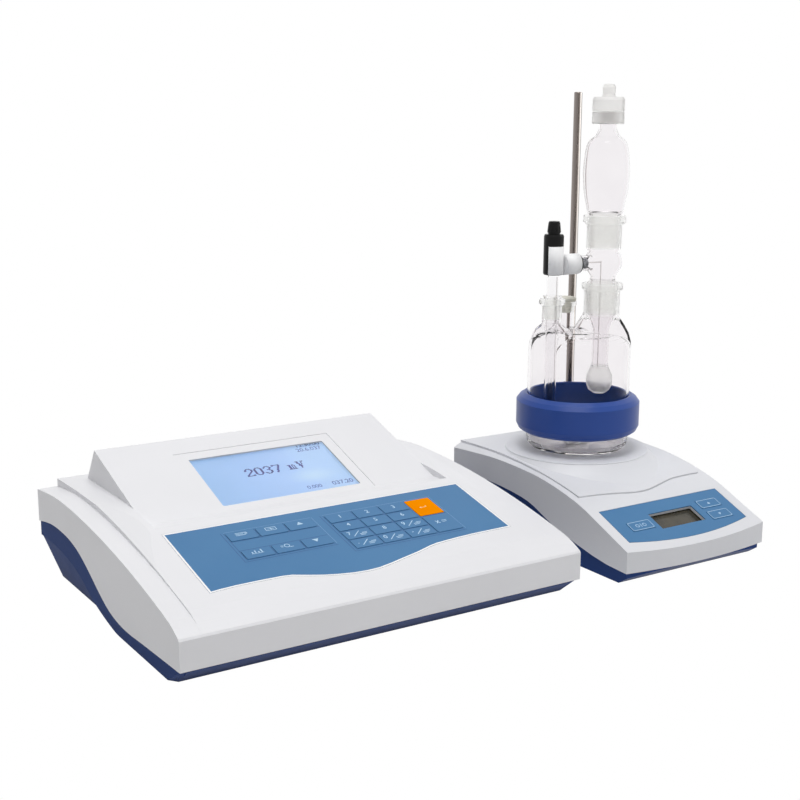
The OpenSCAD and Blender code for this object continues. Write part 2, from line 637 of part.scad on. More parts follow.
module stirrer_cover() color("gainsboro") place() difference() {
  union() {
    difference() {
      st_outside();
      st_inside();
    }
    intersection() {
      st_outside();
      union() {
        for (b = st_boss) disc(b[0], b[1], b[2], 120, 4);
        disc(rod_x, rod_y, 52, 120, 9);
      }
    }
  }
  for (b = st_boss) disc(b[0], b[1], b[2] - 1, b[2] + 11, 1.55);
  disc(rod_x, rod_y, 55, 120, rod_r + 0.05);
  on_stirrer() {
    translate([0, 0, -overlay_t]) linear_extrude(6) st_overlay_shape(0.4);
    for (k = SKEYS) translate([k[1], k[2], 0]) slab(k[3] + 2.6, k[4] + 2.6, 1, -8, 1);
    translate(sw_at) slab(sw_size[0], sw_size[1], 0.8, -8, 1);
    difference() {
      translate([6, -46, -12]) cube([sov_w - 12, 44, 9]);
      translate(sw_at) slab(sw_size[0] + 3.2, sw_size[1] + 3.2, 1.4, -display_n, -2);
    }
  }
}

module st_overlay_shape(g) polygon(concat([[-g, g]], [for (i = [0:14]) let(u = -1 + i / 7)
  [(u + 1) * sov_w / 2 + (u < -0.99 ? -g : u > 0.99 ? g : 0), -43.5 - 8.6 * (1 - u * u) - g]],
  [[sov_w + g, g]]));

module stirrer_overlay() color("steelblue") place() on_stirrer() difference() {
  translate([0, 0, -overlay_t]) linear_extrude(overlay_t) st_overlay_shape(0);
  for (k = SKEYS) translate([k[1], k[2], 0])
    slab(k[3] + 2 * key_gap, k[4] + 2 * key_gap, 1.3, -3, 2);
  translate(sw_at) slab(sw_size[0], sw_size[1], 0.8, -3, 2);
}

module stirrer_key(k) color("steelblue") place() on_stirrer()
  translate([k[1], k[2], 0]) key_cap(k[3], k[4]);

module stirrer_board() color("darkgreen") place() on_stirrer()
  translate([7, -45, board_n - 1.6]) difference() {
    cube([sov_w - 14, 42, 1.6]);
    translate([sw_at[0] - 7 - sw_size[0] / 2 - 2.8, 45 + sw_at[1] - 13, -1])
      cube([sw_size[0] + 5.6, 26, 4]);
  }

module stirrer_display() color("darkslategray") place() on_stirrer()
  translate(sw_at) slab(sw_size[0] + 4.9, sw_size[1] + 4.2, 0.8, -9.5, -display_n - 0.1);

module stirrer_base() color("navy") place() difference() {
  union() {
    difference() {
      intersection() {
        along_x(SX + wall + shell_gap, SX + SW - wall - shell_gap,
          concat([[SY + 12.5, floor_z], [SY + SD - 6, floor_z]],
            rev(clipy(lift(st_low, 4), SY - bow, SY + SD - wall - shell_gap)),
            [[SY - bow, 13.5], [SY - 0.5 - bow + 4, 12]]));
        st_plan(wall + shell_gap, 0, 100);
      }
      intersection() {
        along_x(SX + wall + shell_gap + 2.2, SX + SW - wall - shell_gap - 2.2,
          [[SY + 15, floor_top], [SY + SD - 9, floor_top], [SY + SD - 5.5, 50],
           [SY + SD - 5.5, 90], [SY - bow, 90], [SY - bow, 15.5], [SY - bow + 6, 14]]);
        st_plan(wall + shell_gap + 2.2, 0, 100);
      }
    }
    for (b = st_boss) disc(b[0], b[1], floor_z, b[2] - 0.1, 4.5);
    for (a = [45:90:315]) translate([CX + 23 * cos(a), CY + 23 * sin(a), floor_z])
      cylinder(h = 20 - floor_z, r = 4);
  }
  for (b = st_boss) {
    disc(b[0], b[1], 0, b[2] + 1, 1.8);
    disc(b[0], b[1], 0, floor_z + 4, 3.2);
  }
  for (p = st_feet) disc(p[0], p[1], 0, floor_z + 1.5, foot_r + 0.05);
  translate([SX + SW / 2, SY + SD - 20, 32]) rotate([-90, 0, 0]) cylinder(h = 30, r = 5.6);
}

module stirrer_inlet() color("black") place() translate([SX + SW / 2, SY + SD - 3, 32])
  rotate([-90, 0, 0]) difference() {
    union() {
      translate([0, 0, -14]) cylinder(h = 14.5, r = 5.5);
      translate([0, 0, 0.3]) cylinder(h = 1.8, r = 7.5);
    }
    translate([0, 0, -9]) cylinder(h = 14, r = 3);
  }

module stirrer_motor() color("silver") place() translate([CX, CY, 0]) difference() {
  union() {
    disc(0, 0, 20, 22, 28);
    disc(0, 0, 22, 58, 18);
    disc(0, 0, 58, 61, 6);
  }
  disc(0, 0, 46, 62, 2.06);
}

module drive_magnet() color("dimgray") place() translate([CX, CY, 0]) {
  disc(0, 0, 47, 66, 2);
  disc(0, 0, 63, 66, 6);
  disc(0, 0, 66, 69.5, 28);
  for (x = [-1, 1]) disc(x * 17, 0, 69.5, platform_h - 4.2, 8);
}

module support_rod() color("silver") place() translate([rod_x, rod_y, 55]) {
  cylinder(h = rod_top - 55 - 0.6, r = rod_r);
  translate([0, 0, rod_top - 55 - 0.6]) cylinder(h = 0.6, r1 = rod_r, r2 = rod_r - 0.6);
}

// ---- titration cell ------------------------------------------------------------------------

module cell_ring() color("navy") place() translate([CX, CY, 0]) difference() {
  union() {
    rotate_extrude($fn = 96) polygon([[vessel_r + 0.1, ring_z + 1], [vessel_r + 4.5, ring_z],
      [ring_r - 2.2, ring_z + 2.4], [ring_r, ring_z + 7], [ring_r, ring_z + ring_h - 7.1],
      [ring_r - 3, ring_z + ring_h - 3.1], [vessel_r + 2.2, ring_z + ring_h],
      [vessel_r + 0.1, ring_z + ring_h - 0.6]]);
    rotate([0, 0, rod_a]) {
      box(vessel_r + 4, rod_d, -9, 9, lug_z - 10, lug_z + 10);
      disc(rod_d, 0, lug_z - 10, lug_z + 10, 11);
    }
  }
  rotate([0, 0, rod_a]) {
    disc(rod_d, 0, ring_z - 5, ring_z + ring_h + 5, rod_r + rod_gap);
    translate([rod_d, 0, lug_z]) rotate([0, 90, 0]) cylinder(h = 20, r = 2.56);
  }
}

module ring_clamp_knob() color("black") place() translate([CX, CY, lug_z]) rotate([0, 0, rod_a])
  translate([rod_d, 0, 0]) rotate([0, 90, 0]) {
    translate([0, 0, rod_r + 0.35]) cylinder(h = 10, r = 2.5);
    difference() {
      translate([0, 0, 11.5]) cylinder(h = 13, r = 10);
      for (a = [0:45:315]) rotate([0, 0, a]) translate([11.2, 0, 10]) cylinder(h = 16, r = 2.4);
    }
  }

// Vessel wall and its low shoulder
outer_wall = [[0, vessel_z], [vessel_r - 10, vessel_z], [vessel_r - 4, vessel_z + 2],
  [vessel_r - 0.8, vessel_z + 6], [vessel_r, vessel_z + 11], [vessel_r, vessel_wall_h],
  [vessel_r - 0.8, vessel_wall_h + 4.5], [vessel_r - 3.5, vessel_wall_h + 8.5],
  [vessel_r - 8, vessel_wall_h + 11.5], [vessel_r - 14, vessel_wall_h + 13.6],
  [20, vessel_wall_h + dome_h - 0.3], [0, vessel_wall_h + dome_h]];
// Flares of the two ground necks: how far they stand out from the neck, and their height
main_flare = [[16, 0], [13.5, 7], [10.5, 13], [6.2, 20], [2.6, 26], [0.3, 31]];
stem_flare = [[12.7, 0], [12.3, 10], [10.8, 15.5], [7.3, 19.3], [3.8, 22], [1.3, 24.2], [0.1, 27]];
// A flare about the neck at x, inset by g, kept within the vessel's own round shoulder
module neck_flare(x, r, T, g, bore, top) intersection() {
  translate([x, 0, vessel_wall_h]) rotate_extrude($fn = 72) polygon(concat(
    [[0, -1 - g], [r + T[0][0] - g, -1 - g]],
    [for (p = T) if (p[1] - g / 2 < top) [r + p[0] - g, p[1] - g / 2]], [[bore, top], [0, top]]));
  translate([0, 0, vessel_wall_h]) rotate_extrude($fn = 72) polygon(concat([[0, -8]],
    [for (p = [[0, -8], [0, 5], [1.6, 13], [5.5, 20.5], [10.5, 28], [17, 35]])
      [vessel_r - g - p[0], p[1] - g]], [[0, 60 - g]]));
}
module body(g) rotate_extrude($fn = 72) polygon([for (p = outer_wall)
  [p[0] * (1 - g / vessel_r), p[1] < vessel_z + 20 ? vessel_z + g + (p[1] - vessel_z) * 0.95
    : p[1] - g]]);

// A round neck with its bead at the mouth
module neck(x, y, r, rim_r, top, rim_h) translate([x, y, 0]) {
  disc(0, 0, vessel_wall_h + 10, top - 0.5, r);
  translate([0, 0, top - rim_h]) rotate_extrude() polygon([[0, -2], [r, -2], [rim_r, 0.4],
    [rim_r, rim_h - 0.8], [rim_r - 0.8, rim_h], [0, rim_h]]);
}
// Ground cone of length h with its mouth of radius r at height top, inset by g
module ground(x, y, r, top, h, g) translate([x, y, top - h])
  cylinder(h = h, r1 = r - 0.05 * h - g, r2 = r - g);

module cell_vessel() color("lightcyan", 0.35) place() translate([CX, CY, 0]) difference() {
  union() {
    body(0);
    neck_flare(neck_x, joint_r + 2.2, main_flare, 0, joint_r, 31.5);
    neck_flare(el_x, stem_joint_r + 1.9, stem_flare, 0, stem_joint_r, 27.5);
    neck(neck_x, 0, joint_r + 2.2, joint_r + 4.7, neck_top, 5.5);
    neck(el_x, 0, stem_joint_r + 1.9, stem_joint_r + 5, el_rim, 5);
    neck(sep_x, sep_y, sep_r + 2.7, sep_r + 4.8, sep_rim, 4);
  }
  body(glass);
  neck_flare(neck_x, joint_r + 2.2, main_flare, glass, joint_r - 1.5,
    neck_top - joint_len - 4.8 - vessel_wall_h);
  neck_flare(el_x, stem_joint_r + 1.9, stem_flare, glass, stem_joint_r - 1,
    el_rim - stem_joint_len - 2.8 - vessel_wall_h);
  ground(neck_x, 0, joint_r, neck_top, joint_len + 5, 0);
  disc(neck_x, 0, vessel_wall_h + 4, neck_top - joint_len - 4.9, joint_r - 1.5);
  disc(neck_x, 0, neck_top - 0.1, neck_top + 5, joint_r);
  ground(el_x, 0, stem_joint_r, el_rim, stem_joint_len + 3, 0);
  disc(el_x, 0, vessel_wall_h + 2, el_rim - stem_joint_len - 2.9, stem_joint_r - 1);
  disc(el_x, 0, el_rim - 0.1, el_rim + 5, stem_joint_r);
  disc(sep_x, sep_y, vessel_wall_h + 4, sep_rim + 5, sep_r);
}

module stir_bar() color("white") place() translate([CX, CY, vessel_z + glass + 0.35 + 4.5]) {
  disc(0, 0, -4.5, 4.5, 4.4);
  translate([-bar_len / 2 + 4, 0, 0]) rotate([0, 90, 0]) cylinder(h = bar_len - 8, r = 4);
  for (x = [-1, 1]) translate([x * (bar_len / 2 - 4), 0, 0]) sphere(4);
}

module measuring_electrode() color("lightcyan", 0.4) place() translate([CX + el_x, CY, 0]) {
  difference() {
    union() {
      disc(0, 0, stem_foot, head_z - 0.05, stem_r);
      ground(0, 0, stem_joint_r, el_rim, stem_joint_len, joint_gap);
      disc(0, 0, el_rim, el_rim + 2.4, stem_joint_r - joint_gap);
      disc(0, 0, el_rim + 0.35, el_rim + 2.6, stem_joint_r + 1.6);
    }
    disc(0, 0, stem_foot + 1.5, head_z - 2, stem_r - 1.2);
  }
  for (x = [-1.6, 1.6]) disc(x, 0, stem_foot - 6, stem_foot + 38, 0.5);
}

module electrode_head() color("black") place() translate([CX + el_x, CY, head_z]) difference() {
  rotate_extrude() polygon([[0, 0], [head_r - 0.8, 0], [head_r, 1.15], [head_r, head_len],
    [head_r - 0.8, head_len + 1.9], [head_r - 3.8, head_len + 1.9],
    [head_r - 3.8, head_len + 3.4], [0, head_len + 3.4]]);
  disc(0, 0, head_len - 5, head_len + 6, 1.5);
}

module electrode_cap() color("black") place() translate([CX + el_x, CY, head_z + head_len + 3.45])
  difference() {
    rotate_extrude() polygon([[0, 0], [head_r - 3.2, 0], [head_r - 3, 1], [head_r - 3.9, 9],
      [head_r - 4.6, cord_cap_h], [0, cord_cap_h]]);
    disc(0, 0, -1, cord_cap_h + 1, 1.5);
    for (i = [0:9]) rotate([0, 0, 36 * i]) disc(head_r - 2.9, 0, 1.6, cord_cap_h + 1, 0.9);
  }

// The frosted bulb at the chamber's foot: share of its radius, and height
frit_t = [[0.47, 0.9], [0.8, 4], [0.96, 8.6], [1, 13.6], [0.96, 18.6], [0.8, 23.2]];
// Inside of the cathode chamber, from the bulb up to its own ground mouth
chamber_in = concat([[0, chamber_foot + 2.8]],
  [for (p = frit_t) [(sleeve_r - 2) * p[0], chamber_foot + 2.2 + p[1] * 0.84]],
  [[stalk_r - 1.6, chamber_foot + 26], [stalk_r - 1.6, neck_top - 45],
  [sleeve_r - 3.6, neck_top - 36], [sleeve_r - 3, neck_top - joint_len - 4],
  [sleeve_r - 3, neck_top - joint_len - 3], [joint_r - 3.4, neck_top - joint_len],
  [joint_r - 3.4, neck_top - 3.5], [joint_r - 4.7, neck_top + 2], [joint_r - 4.4, neck_top + 6.5],
  [joint_r - 1.4, neck_top + 11.5], [joint_r + 1.3, lead_z - 4.5], [joint_r + 1.6, lead_z],
  [joint_r + 0.4, lead_z + 5.5], [joint_r - 1.7, lead_z + 9],
  [joint_r - 2.3, chamber_top - joint_len - 4.8]]);
module cathode_chamber() color("lightcyan", 0.4) place() translate([CX + neck_x, CY, 0])
  difference() {
    union() {
      rotate_extrude() polygon(concat([[0, chamber_foot]],
        [for (p = frit_t) [sleeve_r * p[0], chamber_foot + p[1]]],
        [[stalk_r + 0.8, chamber_foot + 26], [stalk_r, chamber_foot + 29],
        [stalk_r, neck_top - 45], [sleeve_r - 3.2, neck_top - 39],
        [sleeve_r - 1.2, neck_top - 34],
        [sleeve_r - 1.2, neck_top - joint_len - 4], [joint_r - 1.8, neck_top - joint_len - 3],
        [joint_r - 0.05 * joint_len - joint_gap - 0.05, neck_top - joint_len],
        [joint_r - joint_gap - 0.05, neck_top]], spline([[joint_r - 0.4, neck_top + 0.5],
        [joint_r - 2.8, neck_top + 3.5], [joint_r - 2.3, neck_top + 7.5],
        [joint_r + 0.3, neck_top + 12], [joint_r + 2.6, lead_z - 4.5], [joint_r + 3, lead_z],
        [joint_r + 2, lead_z + 5.5], [joint_r + 0.1, lead_z + 9.3],
        [joint_r + 1.3, lead_z + 12.5], [joint_r + 1.6, lead_z + 17]], 2),
        [[joint_r + 1.6, chamber_top - 9.3], [joint_r + 5.3, chamber_top - 6.5],
        [joint_r + 5.3, chamber_top - 0.7], [joint_r + 4.5, chamber_top], [0, chamber_top]]));
      translate([0, 0, lead_z]) rotate([0, -90, 0]) cylinder(h = arm_len, r = arm_r);
    }
    rotate_extrude() polygon(concat(chamber_in, [[0, chamber_top - joint_len - 4.8]]));
    ground(0, 0, joint_r, chamber_top, joint_len + 5, 0);
    disc(0, 0, chamber_top - 0.1, chamber_top + 4, joint_r);
    translate([-9, 0, lead_z]) rotate([0, -90, 0]) cylinder(h = arm_len, r = arm_r - tube_wall);
  }

// The lead's sleeve slips over the chamber's side arm, with its plug inside the arm
module cathode_lead() color("black") place() translate([CX + neck_x, CY, lead_z])
  rotate([0, -90, 0]) {
    difference() {
      translate([0, 0, arm_len - 2.4]) cylinder(h = neck_x - el_x - head_r + 1.8 - arm_len, r = 9.6);
      translate([0, 0, arm_len - 3]) cylinder(h = 3.3, r = arm_r + 0.2);
    }
    translate([0, 0, arm_len - 12]) cylinder(h = 14, r = arm_r - tube_wall - 0.3);
    translate([0, 0, 2.6]) cylinder(h = arm_len - 12, r = 0.6);
    translate([chamber_foot + 24 - lead_z, 0, 2.6]) rotate([0, 90, 0])
      cylinder(h = lead_z - chamber_foot - 23, r = 0.5);
  }

// The drying tube's barrel: share of its radius and of its length
barrel = [[0.78, 0], [0.835, 0.09], [0.9, 0.18], [0.965, 0.31], [1, 0.49], [0.975, 0.665],
  [0.905, 0.84], [0.76, 0.94], [0.5, 1]];
function barrel_p(r, k) = spline([for (p = barrel) [p[0] * r, bulb_z + p[1] * bulb_len * k
  + (1 - k) * bulb_len / 2]], 2);
module drying_tube() color("lightcyan", 0.35) place() translate([CX + neck_x, CY, 0])
  difference() {
    rotate_extrude() polygon(concat([[0, chamber_top - joint_len - 2.3],
      [joint_r - 0.05 * (joint_len + 2.3) - joint_gap - 0.085, chamber_top - joint_len - 2.3],
      [joint_r - joint_gap, chamber_top], [joint_r + 1.1, chamber_top + 0.35]],
      barrel_p(bulb_r, 1), [[tip_r + 1.1, bulb_top + 3.5], [tip_r, bulb_top + 6], [tip_r, tip_top],
      [0, tip_top]]));
    rotate_extrude() polygon(concat([[0, chamber_top - joint_len - 3.3],
      [joint_r - 3.7, chamber_top - joint_len - 3.3], [joint_r - 2.7, chamber_top - 0.3]],
      barrel_p(tube_in, 0.97), [[tip_r - tube_wall, bulb_top + 4.4],
      [tip_r - tube_wall, tip_top + 0.5], [0, tip_top + 0.5]]));
  }

module drying_tube_cap() color("white") place() translate([CX + neck_x, CY, cap_z])
  difference() {
    rotate_extrude() polygon([[0, 0], [cap_r - 1, 0], [cap_r, 1], [cap_r, cap_h - 0.8],
      [cap_r - 0.6, cap_h], [0, cap_h]]);
    disc(0, 0, -5, tip_top + 0.1 - cap_z, tip_r + 0.05);
    disc(0, 0, 5, cap_h + 1, 5.3);
  }

module drying_tube_stopper() color("white") place() translate([CX + neck_x, CY, cap_top + 0.3])
  rotate_extrude() polygon([[0, -8.3], [4.6, -8.3], [5, 0], [cap_r - 0.6, 0], [cap_r, 0.7],
    [cap_r, 10.2], [cap_r - 1.4, 13], [6.4, 13.3], [5.8, stopper_h - 9.5],
    [6.2, stopper_h - 3.5], [4.8, stopper_h - 0.9], [2, stopper_h - 0.1], [0, stopper_h]]);

module injection_septum() color("khaki") place() translate([CX + sep_x, CY + sep_y, sep_rim])
  rotate_extrude() polygon([[0, -11], [sep_r - 0.4, -11], [sep_r - 0.1, -10], [sep_r - 0.1, 0.3],
    [sep_r + 4, 0.3], [sep_r + 4.4, 1], [sep_r + 4.4, 3], [sep_r + 3.4, 4], [0, 4]]);

controller_cover();
controller_base();
rear_panel();
power_inlet();
power_rocker();
electrode_sockets();
serial_connector();
display_window();
display_module();
keypad_overlay();
keypad_board();
main_board();
power_supply();
rubber_feet();
housing_screws();
stirrer_cover();
stirrer_base();
stirrer_overlay();
stirrer_display();
stirrer_board();
stirrer_motor();
drive_magnet();
stirrer_inlet();
support_rod();
cell_ring();
ring_clamp_knob();
cell_vessel();
stir_bar();
measuring_electrode();
electrode_head();
electrode_cap();
cathode_chamber();
cathode_lead();
drying_tube();
drying_tube_cap();
drying_tube_stopper();
injection_septum();
for (k = KEYS) deck_key(k);
for (k = SKEYS) stirrer_key(k);
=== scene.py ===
"""Looks of the automatic titrator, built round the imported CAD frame."""
import math
import bpy
import bmesh
from mathutils import Matrix, Vector


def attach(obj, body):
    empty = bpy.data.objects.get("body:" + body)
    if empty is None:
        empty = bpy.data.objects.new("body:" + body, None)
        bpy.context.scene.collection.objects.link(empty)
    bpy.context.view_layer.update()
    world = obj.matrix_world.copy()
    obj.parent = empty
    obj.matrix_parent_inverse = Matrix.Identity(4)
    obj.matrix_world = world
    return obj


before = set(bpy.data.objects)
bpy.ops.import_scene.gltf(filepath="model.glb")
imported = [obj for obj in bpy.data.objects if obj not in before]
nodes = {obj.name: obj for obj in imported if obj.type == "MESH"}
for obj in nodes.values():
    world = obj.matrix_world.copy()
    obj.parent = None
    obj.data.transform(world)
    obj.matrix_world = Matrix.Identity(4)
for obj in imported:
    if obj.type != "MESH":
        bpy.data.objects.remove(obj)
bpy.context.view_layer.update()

# ---------------------------------------------------------------- sizes as in part.scad, in millimetres
CONTROLLER_W = 360.0
CONTROLLER_D = 306.0
FRONT_H = 40.1
RAISED_H = 82.0
OVERLAY_X = 42.0
OVERLAY_W = 279.5
KEY_CELL_W = 26.1
KEY_CELL_H = 14.3
KEY_PROUD = 0.3
# Left edges of the two blocks of keys and the rear edge of their first row, on the keypad slope
SELECT_U = 45.6
NUMBER_U = 135.2
ROW_V = -14.7
HOOD_H = 111.0
HOOD_Y = 0.8856 * CONTROLLER_D
HOOD_ANGLE = 18.78
WINDOW_X = 113.4
WINDOW_W = 133.2
WINDOW_H = 74.4
WINDOW_TOP = 35.0
# The screen's face, out of the hood's slope
SCREEN_N = -3.4
UNIT_GAP = 45.6
STIRRER_W = 165.0
STIRRER_FRONT = -7.0
STIRRER_BOW = 7.0
# Ends of the stirrer's key slope: Y, Z
STIRRER_DECK_FRONT = (-14, 29.7)
STIRRER_DECK_REAR = (48, 55.3)
JACK_OUT = 9.1
VESSEL_R = 49.0
VESSEL_BACK = 167.5
NECK_TOP = 237.5
# The main and the electrode's neck stand this far in from the vessel's wall
NECK_INSET = 22.6
ELECTRODE_INSET = 14.0
HEAD_R = 9.4
LEAD_R = 9.6
ARM_LEN = 35.0

# ---------------------------------------------------------------- places worked out from them
STIRRER_X = CONTROLLER_W + UNIT_GAP
STIRRER_OVERLAY_X = STIRRER_X + 11.5
MIDDLE_X = (STIRRER_X + STIRRER_W) / 2
MIDDLE_Y = (CONTROLLER_D + JACK_OUT + STIRRER_FRONT - STIRRER_BOW) / 2
VESSEL_X = STIRRER_X + STIRRER_W / 2
VESSEL_Y = STIRRER_FRONT + VESSEL_BACK
NECK_X = VESSEL_X + VESSEL_R - NECK_INSET
ELECTRODE_X = VESSEL_X - VESSEL_R + ELECTRODE_INSET
LEAD_Z = NECK_TOP + 20.5
LEAD_END = ELECTRODE_X + HEAD_R + 0.6
# Where the side arm's plug, painted grey as a painted reflection of the glass arm, and its bright wire
# begin, from left to right
PLUG_X = NECK_X - ARM_LEN + 2.4
WIRE_X = NECK_X - ARM_LEN + 12.1


def place(x, y, z):
    """Bench millimetres from the controller's front left corner, as a point of the row frame in metres."""
    return Vector(((x - MIDDLE_X) / 1000, (y - MIDDLE_Y) / 1000, z / 1000))


class Slope:
    """A tilted plane: u to the right, v up the slope and n out of it, in millimetres."""

    def __init__(self, x, y, z, angle, up):
        self.origin, self.angle, self.up = (x, y, z), angle, up

    @classmethod
    def through(cls, x, front, rear, inset):
        """The slope between two (y, z) points, with its origin inset from the rear one."""
        run, rise = rear[0] - front[0], rear[1] - front[1]
        return cls(x, *front, math.atan2(rise, run), math.hypot(run, rise) - inset)

    def at(self, u, v, n):
        x, y, z = self.origin
        v += self.up
        cos, sin = math.cos(self.angle), math.sin(self.angle)
        return place(x + u, y + v * cos - n * sin, z + v * sin + n * cos)


def raised_point(depth_share, height_share):
    """A (y, z) point of the raised panel's side outline, in shares of its depth and rise."""
    return depth_share * CONTROLLER_D, FRONT_H + height_share * (RAISED_H - FRONT_H)


# The key slopes begin at the rear left corners of their overlays, and the hood's at its window's middle
DECK = Slope.through(OVERLAY_X, raised_point(0.078, 0.252), raised_point(0.431, 0.838), inset=4.7)
HOOD = Slope(WINDOW_X + WINDOW_W / 2, HOOD_Y, HOOD_H, math.radians(HOOD_ANGLE), -WINDOW_TOP - WINDOW_H / 2)
STIRRER_DECK = Slope.through(STIRRER_OVERLAY_X, STIRRER_DECK_FRONT, STIRRER_DECK_REAR, inset=4.8)


# ---------------------------------------------------------------- materials
def srgb(r, g, b):
    """A screen colour of 0 to 255 as linear RGBA."""
    def linear(c):
        c /= 255
        return c / 12.92 if c <= 0.04045 else ((c + 0.055) / 1.055) ** 2.4
    return linear(r), linear(g), linear(b), 1


class Mat:
    """A Principled material, with short ways to build and wire its nodes."""

    def __init__(self, name, **sockets):
        self.material = bpy.data.materials.new(name)
        self.material.use_nodes = True
        self.tree = self.material.node_tree
        self.shader = self.tree.nodes["Principled BSDF"]
        self.coord = self.node("ShaderNodeTexCoord").outputs["Object"]
        self.wire(**sockets)

    def feed(self, socket, value):
        """Links an output to the socket, or sets a plain value on it."""
        if isinstance(value, bpy.types.NodeSocket):
            self.tree.links.new(value, socket)
        else:
            socket.default_value = value

    def wire(self, **sockets):
        """Feeds the shader's own sockets, with _ for each space in a name."""
        for name, value in sockets.items():
            self.feed(self.shader.inputs[name.replace("_", " ")], value)
        return self

    def node(self, kind, inputs=None, **settings):
        """A new node with its settings, and its inputs by name or number."""
        node = self.tree.nodes.new(kind)
        for name, value in settings.items():
            setattr(node, name, value)
        for key, value in (inputs or {}).items():
            self.feed(node.inputs[key], value)
        return node

    def math(self, operation, *values):
        return self.node("ShaderNodeMath", dict(enumerate(values)), operation=operation).outputs["Value"]

    def vector(self, operation, *values):
        node = self.node("ShaderNodeVectorMath", dict(enumerate(values)), operation=operation)
        return node.outputs["Value" if operation in ("DOT_PRODUCT", "LENGTH") else "Vector"]

    def mix(self, factor, a, b):
        inputs = {"Factor": factor, "A": a, "B": b}
        return self.node("ShaderNodeMix", inputs, data_type="RGBA").outputs["Result"]

    def noise(self, scale, detail, rough=0.5, stretch=None):
        """Noise over the object in metres, with its axes scaled by stretch."""
        source = self.coord
        if stretch:
            source = self.node("ShaderNodeMapping", {"Scale": stretch, "Vector": source}).outputs["Vector"]
        inputs = {"Scale": scale, "Detail": detail, "Roughness": rough, "Vector": source}
        return self.node("ShaderNodeTexNoise", inputs).outputs["Fac"]

    def ramp(self, factor, *stops):
        """A colour ramp of (position, colour) stops."""
        node = self.node("ShaderNodeValToRGB", {"Fac": factor})
        elements = node.color_ramp.elements
        elements[0].position, elements[0].color = stops[0]
        elements[1].position, elements[1].color = stops[-1]
        for position, colour in stops[1:-1]:
            elements.new(position).color = colour
        return node.outputs["Color"]

    def tones(self, scale, detail, first, second, start=0.3, end=0.7):
        """Two colours in soft clouds."""
        return self.ramp(self.noise(scale, detail), (start, first), (end, second))

    def span(self, factor, low, high, start=0.0, end=1.0, kind="LINEAR"):
        """Carries start..end of the factor over to low..high."""
        inputs = {"Value": factor, "From Min": start, "From Max": end, "To Min": low, "To Max": high}
        return self.node("ShaderNodeMapRange", inputs, interpolation_type=kind).outputs["Result"]

    def axis(self, name, start, end, kind="LINEAR"):
        """0 to 1 along an axis of the object, between two places in metres."""
        parts = self.node("ShaderNodeSeparateXYZ", {"Vector": self.coord}).outputs
        return self.span(parts[name], 0.0, 1.0, start, end, kind)

    def bump(self, height, strength):
        depth = 0.0002
        node = self.node("ShaderNodeBump", {"Height": height, "Strength": strength, "Distance": depth})
        self.wire(Normal=node.outputs["Normal"])


def plastic(name, dark, pale, rough=(0.36, 0.46), grain=2600, strength=0.16, cloud=9, **sockets):
    """Moulded plastic: faint cloudy colour, fine spark-eroded grain, uneven gloss."""
    mat = Mat(name, **sockets)
    mat.bump(mat.noise(grain, 2), strength)
    return mat.wire(Base_Color=mat.tones(cloud, 4, srgb(*dark), srgb(*pale)),
                    Roughness=mat.span(mat.noise(60, 2), *rough))


def ink(name, dark, pale, rough):
    """Printing ink, also used for the painted shadow and highlight lines: matt, with hardly any grain."""
    return plastic(name, dark, pale, rough, grain=2400, strength=0.05, cloud=200)


white = plastic("housing_white", (231, 231, 234), (234, 234, 237), IOR=1.46)
# The stirrer's white is the housing white painted darker: painted shade for the weaker light over the
# stirrer.
stirrer_shaded_white = plastic("stirrer_shaded_white", (220, 221, 226), (224, 225, 229), IOR=1.46)
navy = plastic("housing_blue", (48, 70, 124), (54, 76, 130), (0.3, 0.4), IOR=1.46, Specular_IOR_Level=0.008)
ring_blue = plastic("ring_blue", (36, 70, 148), (42, 77, 154), (0.30, 0.38), 1500, 0.1,
                    IOR=1.48, Specular_IOR_Level=0.3)
blue = plastic("overlay_blue", (66, 119, 166), (71, 124, 170), (0.34, 0.42), 4200, 0.12, 14,
               IOR=1.4, Specular_IOR_Level=0.35)
orange = plastic("key_orange", (244, 138, 0), (255, 153, 0), (0.4, 0.5), 4200, 0.12, 14,
                 IOR=1.4, Specular_IOR_Level=0.0)
black = plastic("black_plastic", (9, 9, 10), (15, 15, 16), (0.24, 0.34), 1800, 0.15,
                IOR=1.45, Specular_IOR_Level=0.2)
grey = plastic("panel_grey", (92, 94, 98), (100, 102, 106), (0.4, 0.5), 1400, 0.2, Metallic=0.3)
rubber = plastic("feet_rubber", (30, 30, 31), (40, 40, 40), (0.65, 0.8), 900, 0.3)
green = plastic("board_green", (20, 84, 52), (26, 96, 60), (0.3, 0.45), 500, 0.2)
magnet = plastic("magnet_grey", (70, 70, 74), (84, 84, 88), (0.5, 0.6), 500, 0.2)
# White of the paper labels, also used for the painted highlight round the keypad overlay.
label = plastic("label_and_highlight_white", (246, 246, 247), (250, 250, 251), (0.45, 0.55), 2400, 0.1, 30)
septum = plastic("septum", (232, 230, 218), (238, 236, 226), (0.45, 0.6), 700, 0.3, 60,
                 Transmission_Weight=0.3, IOR=1.4)
milky = plastic("milky_plastic", (246, 245, 243), (250, 249, 248), (0.3, 0.42), 700, 0.1, 40,
                IOR=1.3, Transmission_Weight=0.72)
bar_white = plastic("bar_white", (236, 236, 236), (242, 242, 242), (0.3, 0.4), 700, 0.1, 40, IOR=1.38)
pale_ink = ink("print_pale", (170, 204, 230), (186, 214, 236), (0.45, 0.55))
cream_ink = ink("print_cream", (250, 214, 150), (252, 222, 168), (0.45, 0.55))
# Dark navy for the printed lines round the keys and for their painted shadow line.
navy_ink_and_shadow = ink("print_and_shadow_navy", (30, 84, 138), (36, 90, 144), (0.4, 0.5))
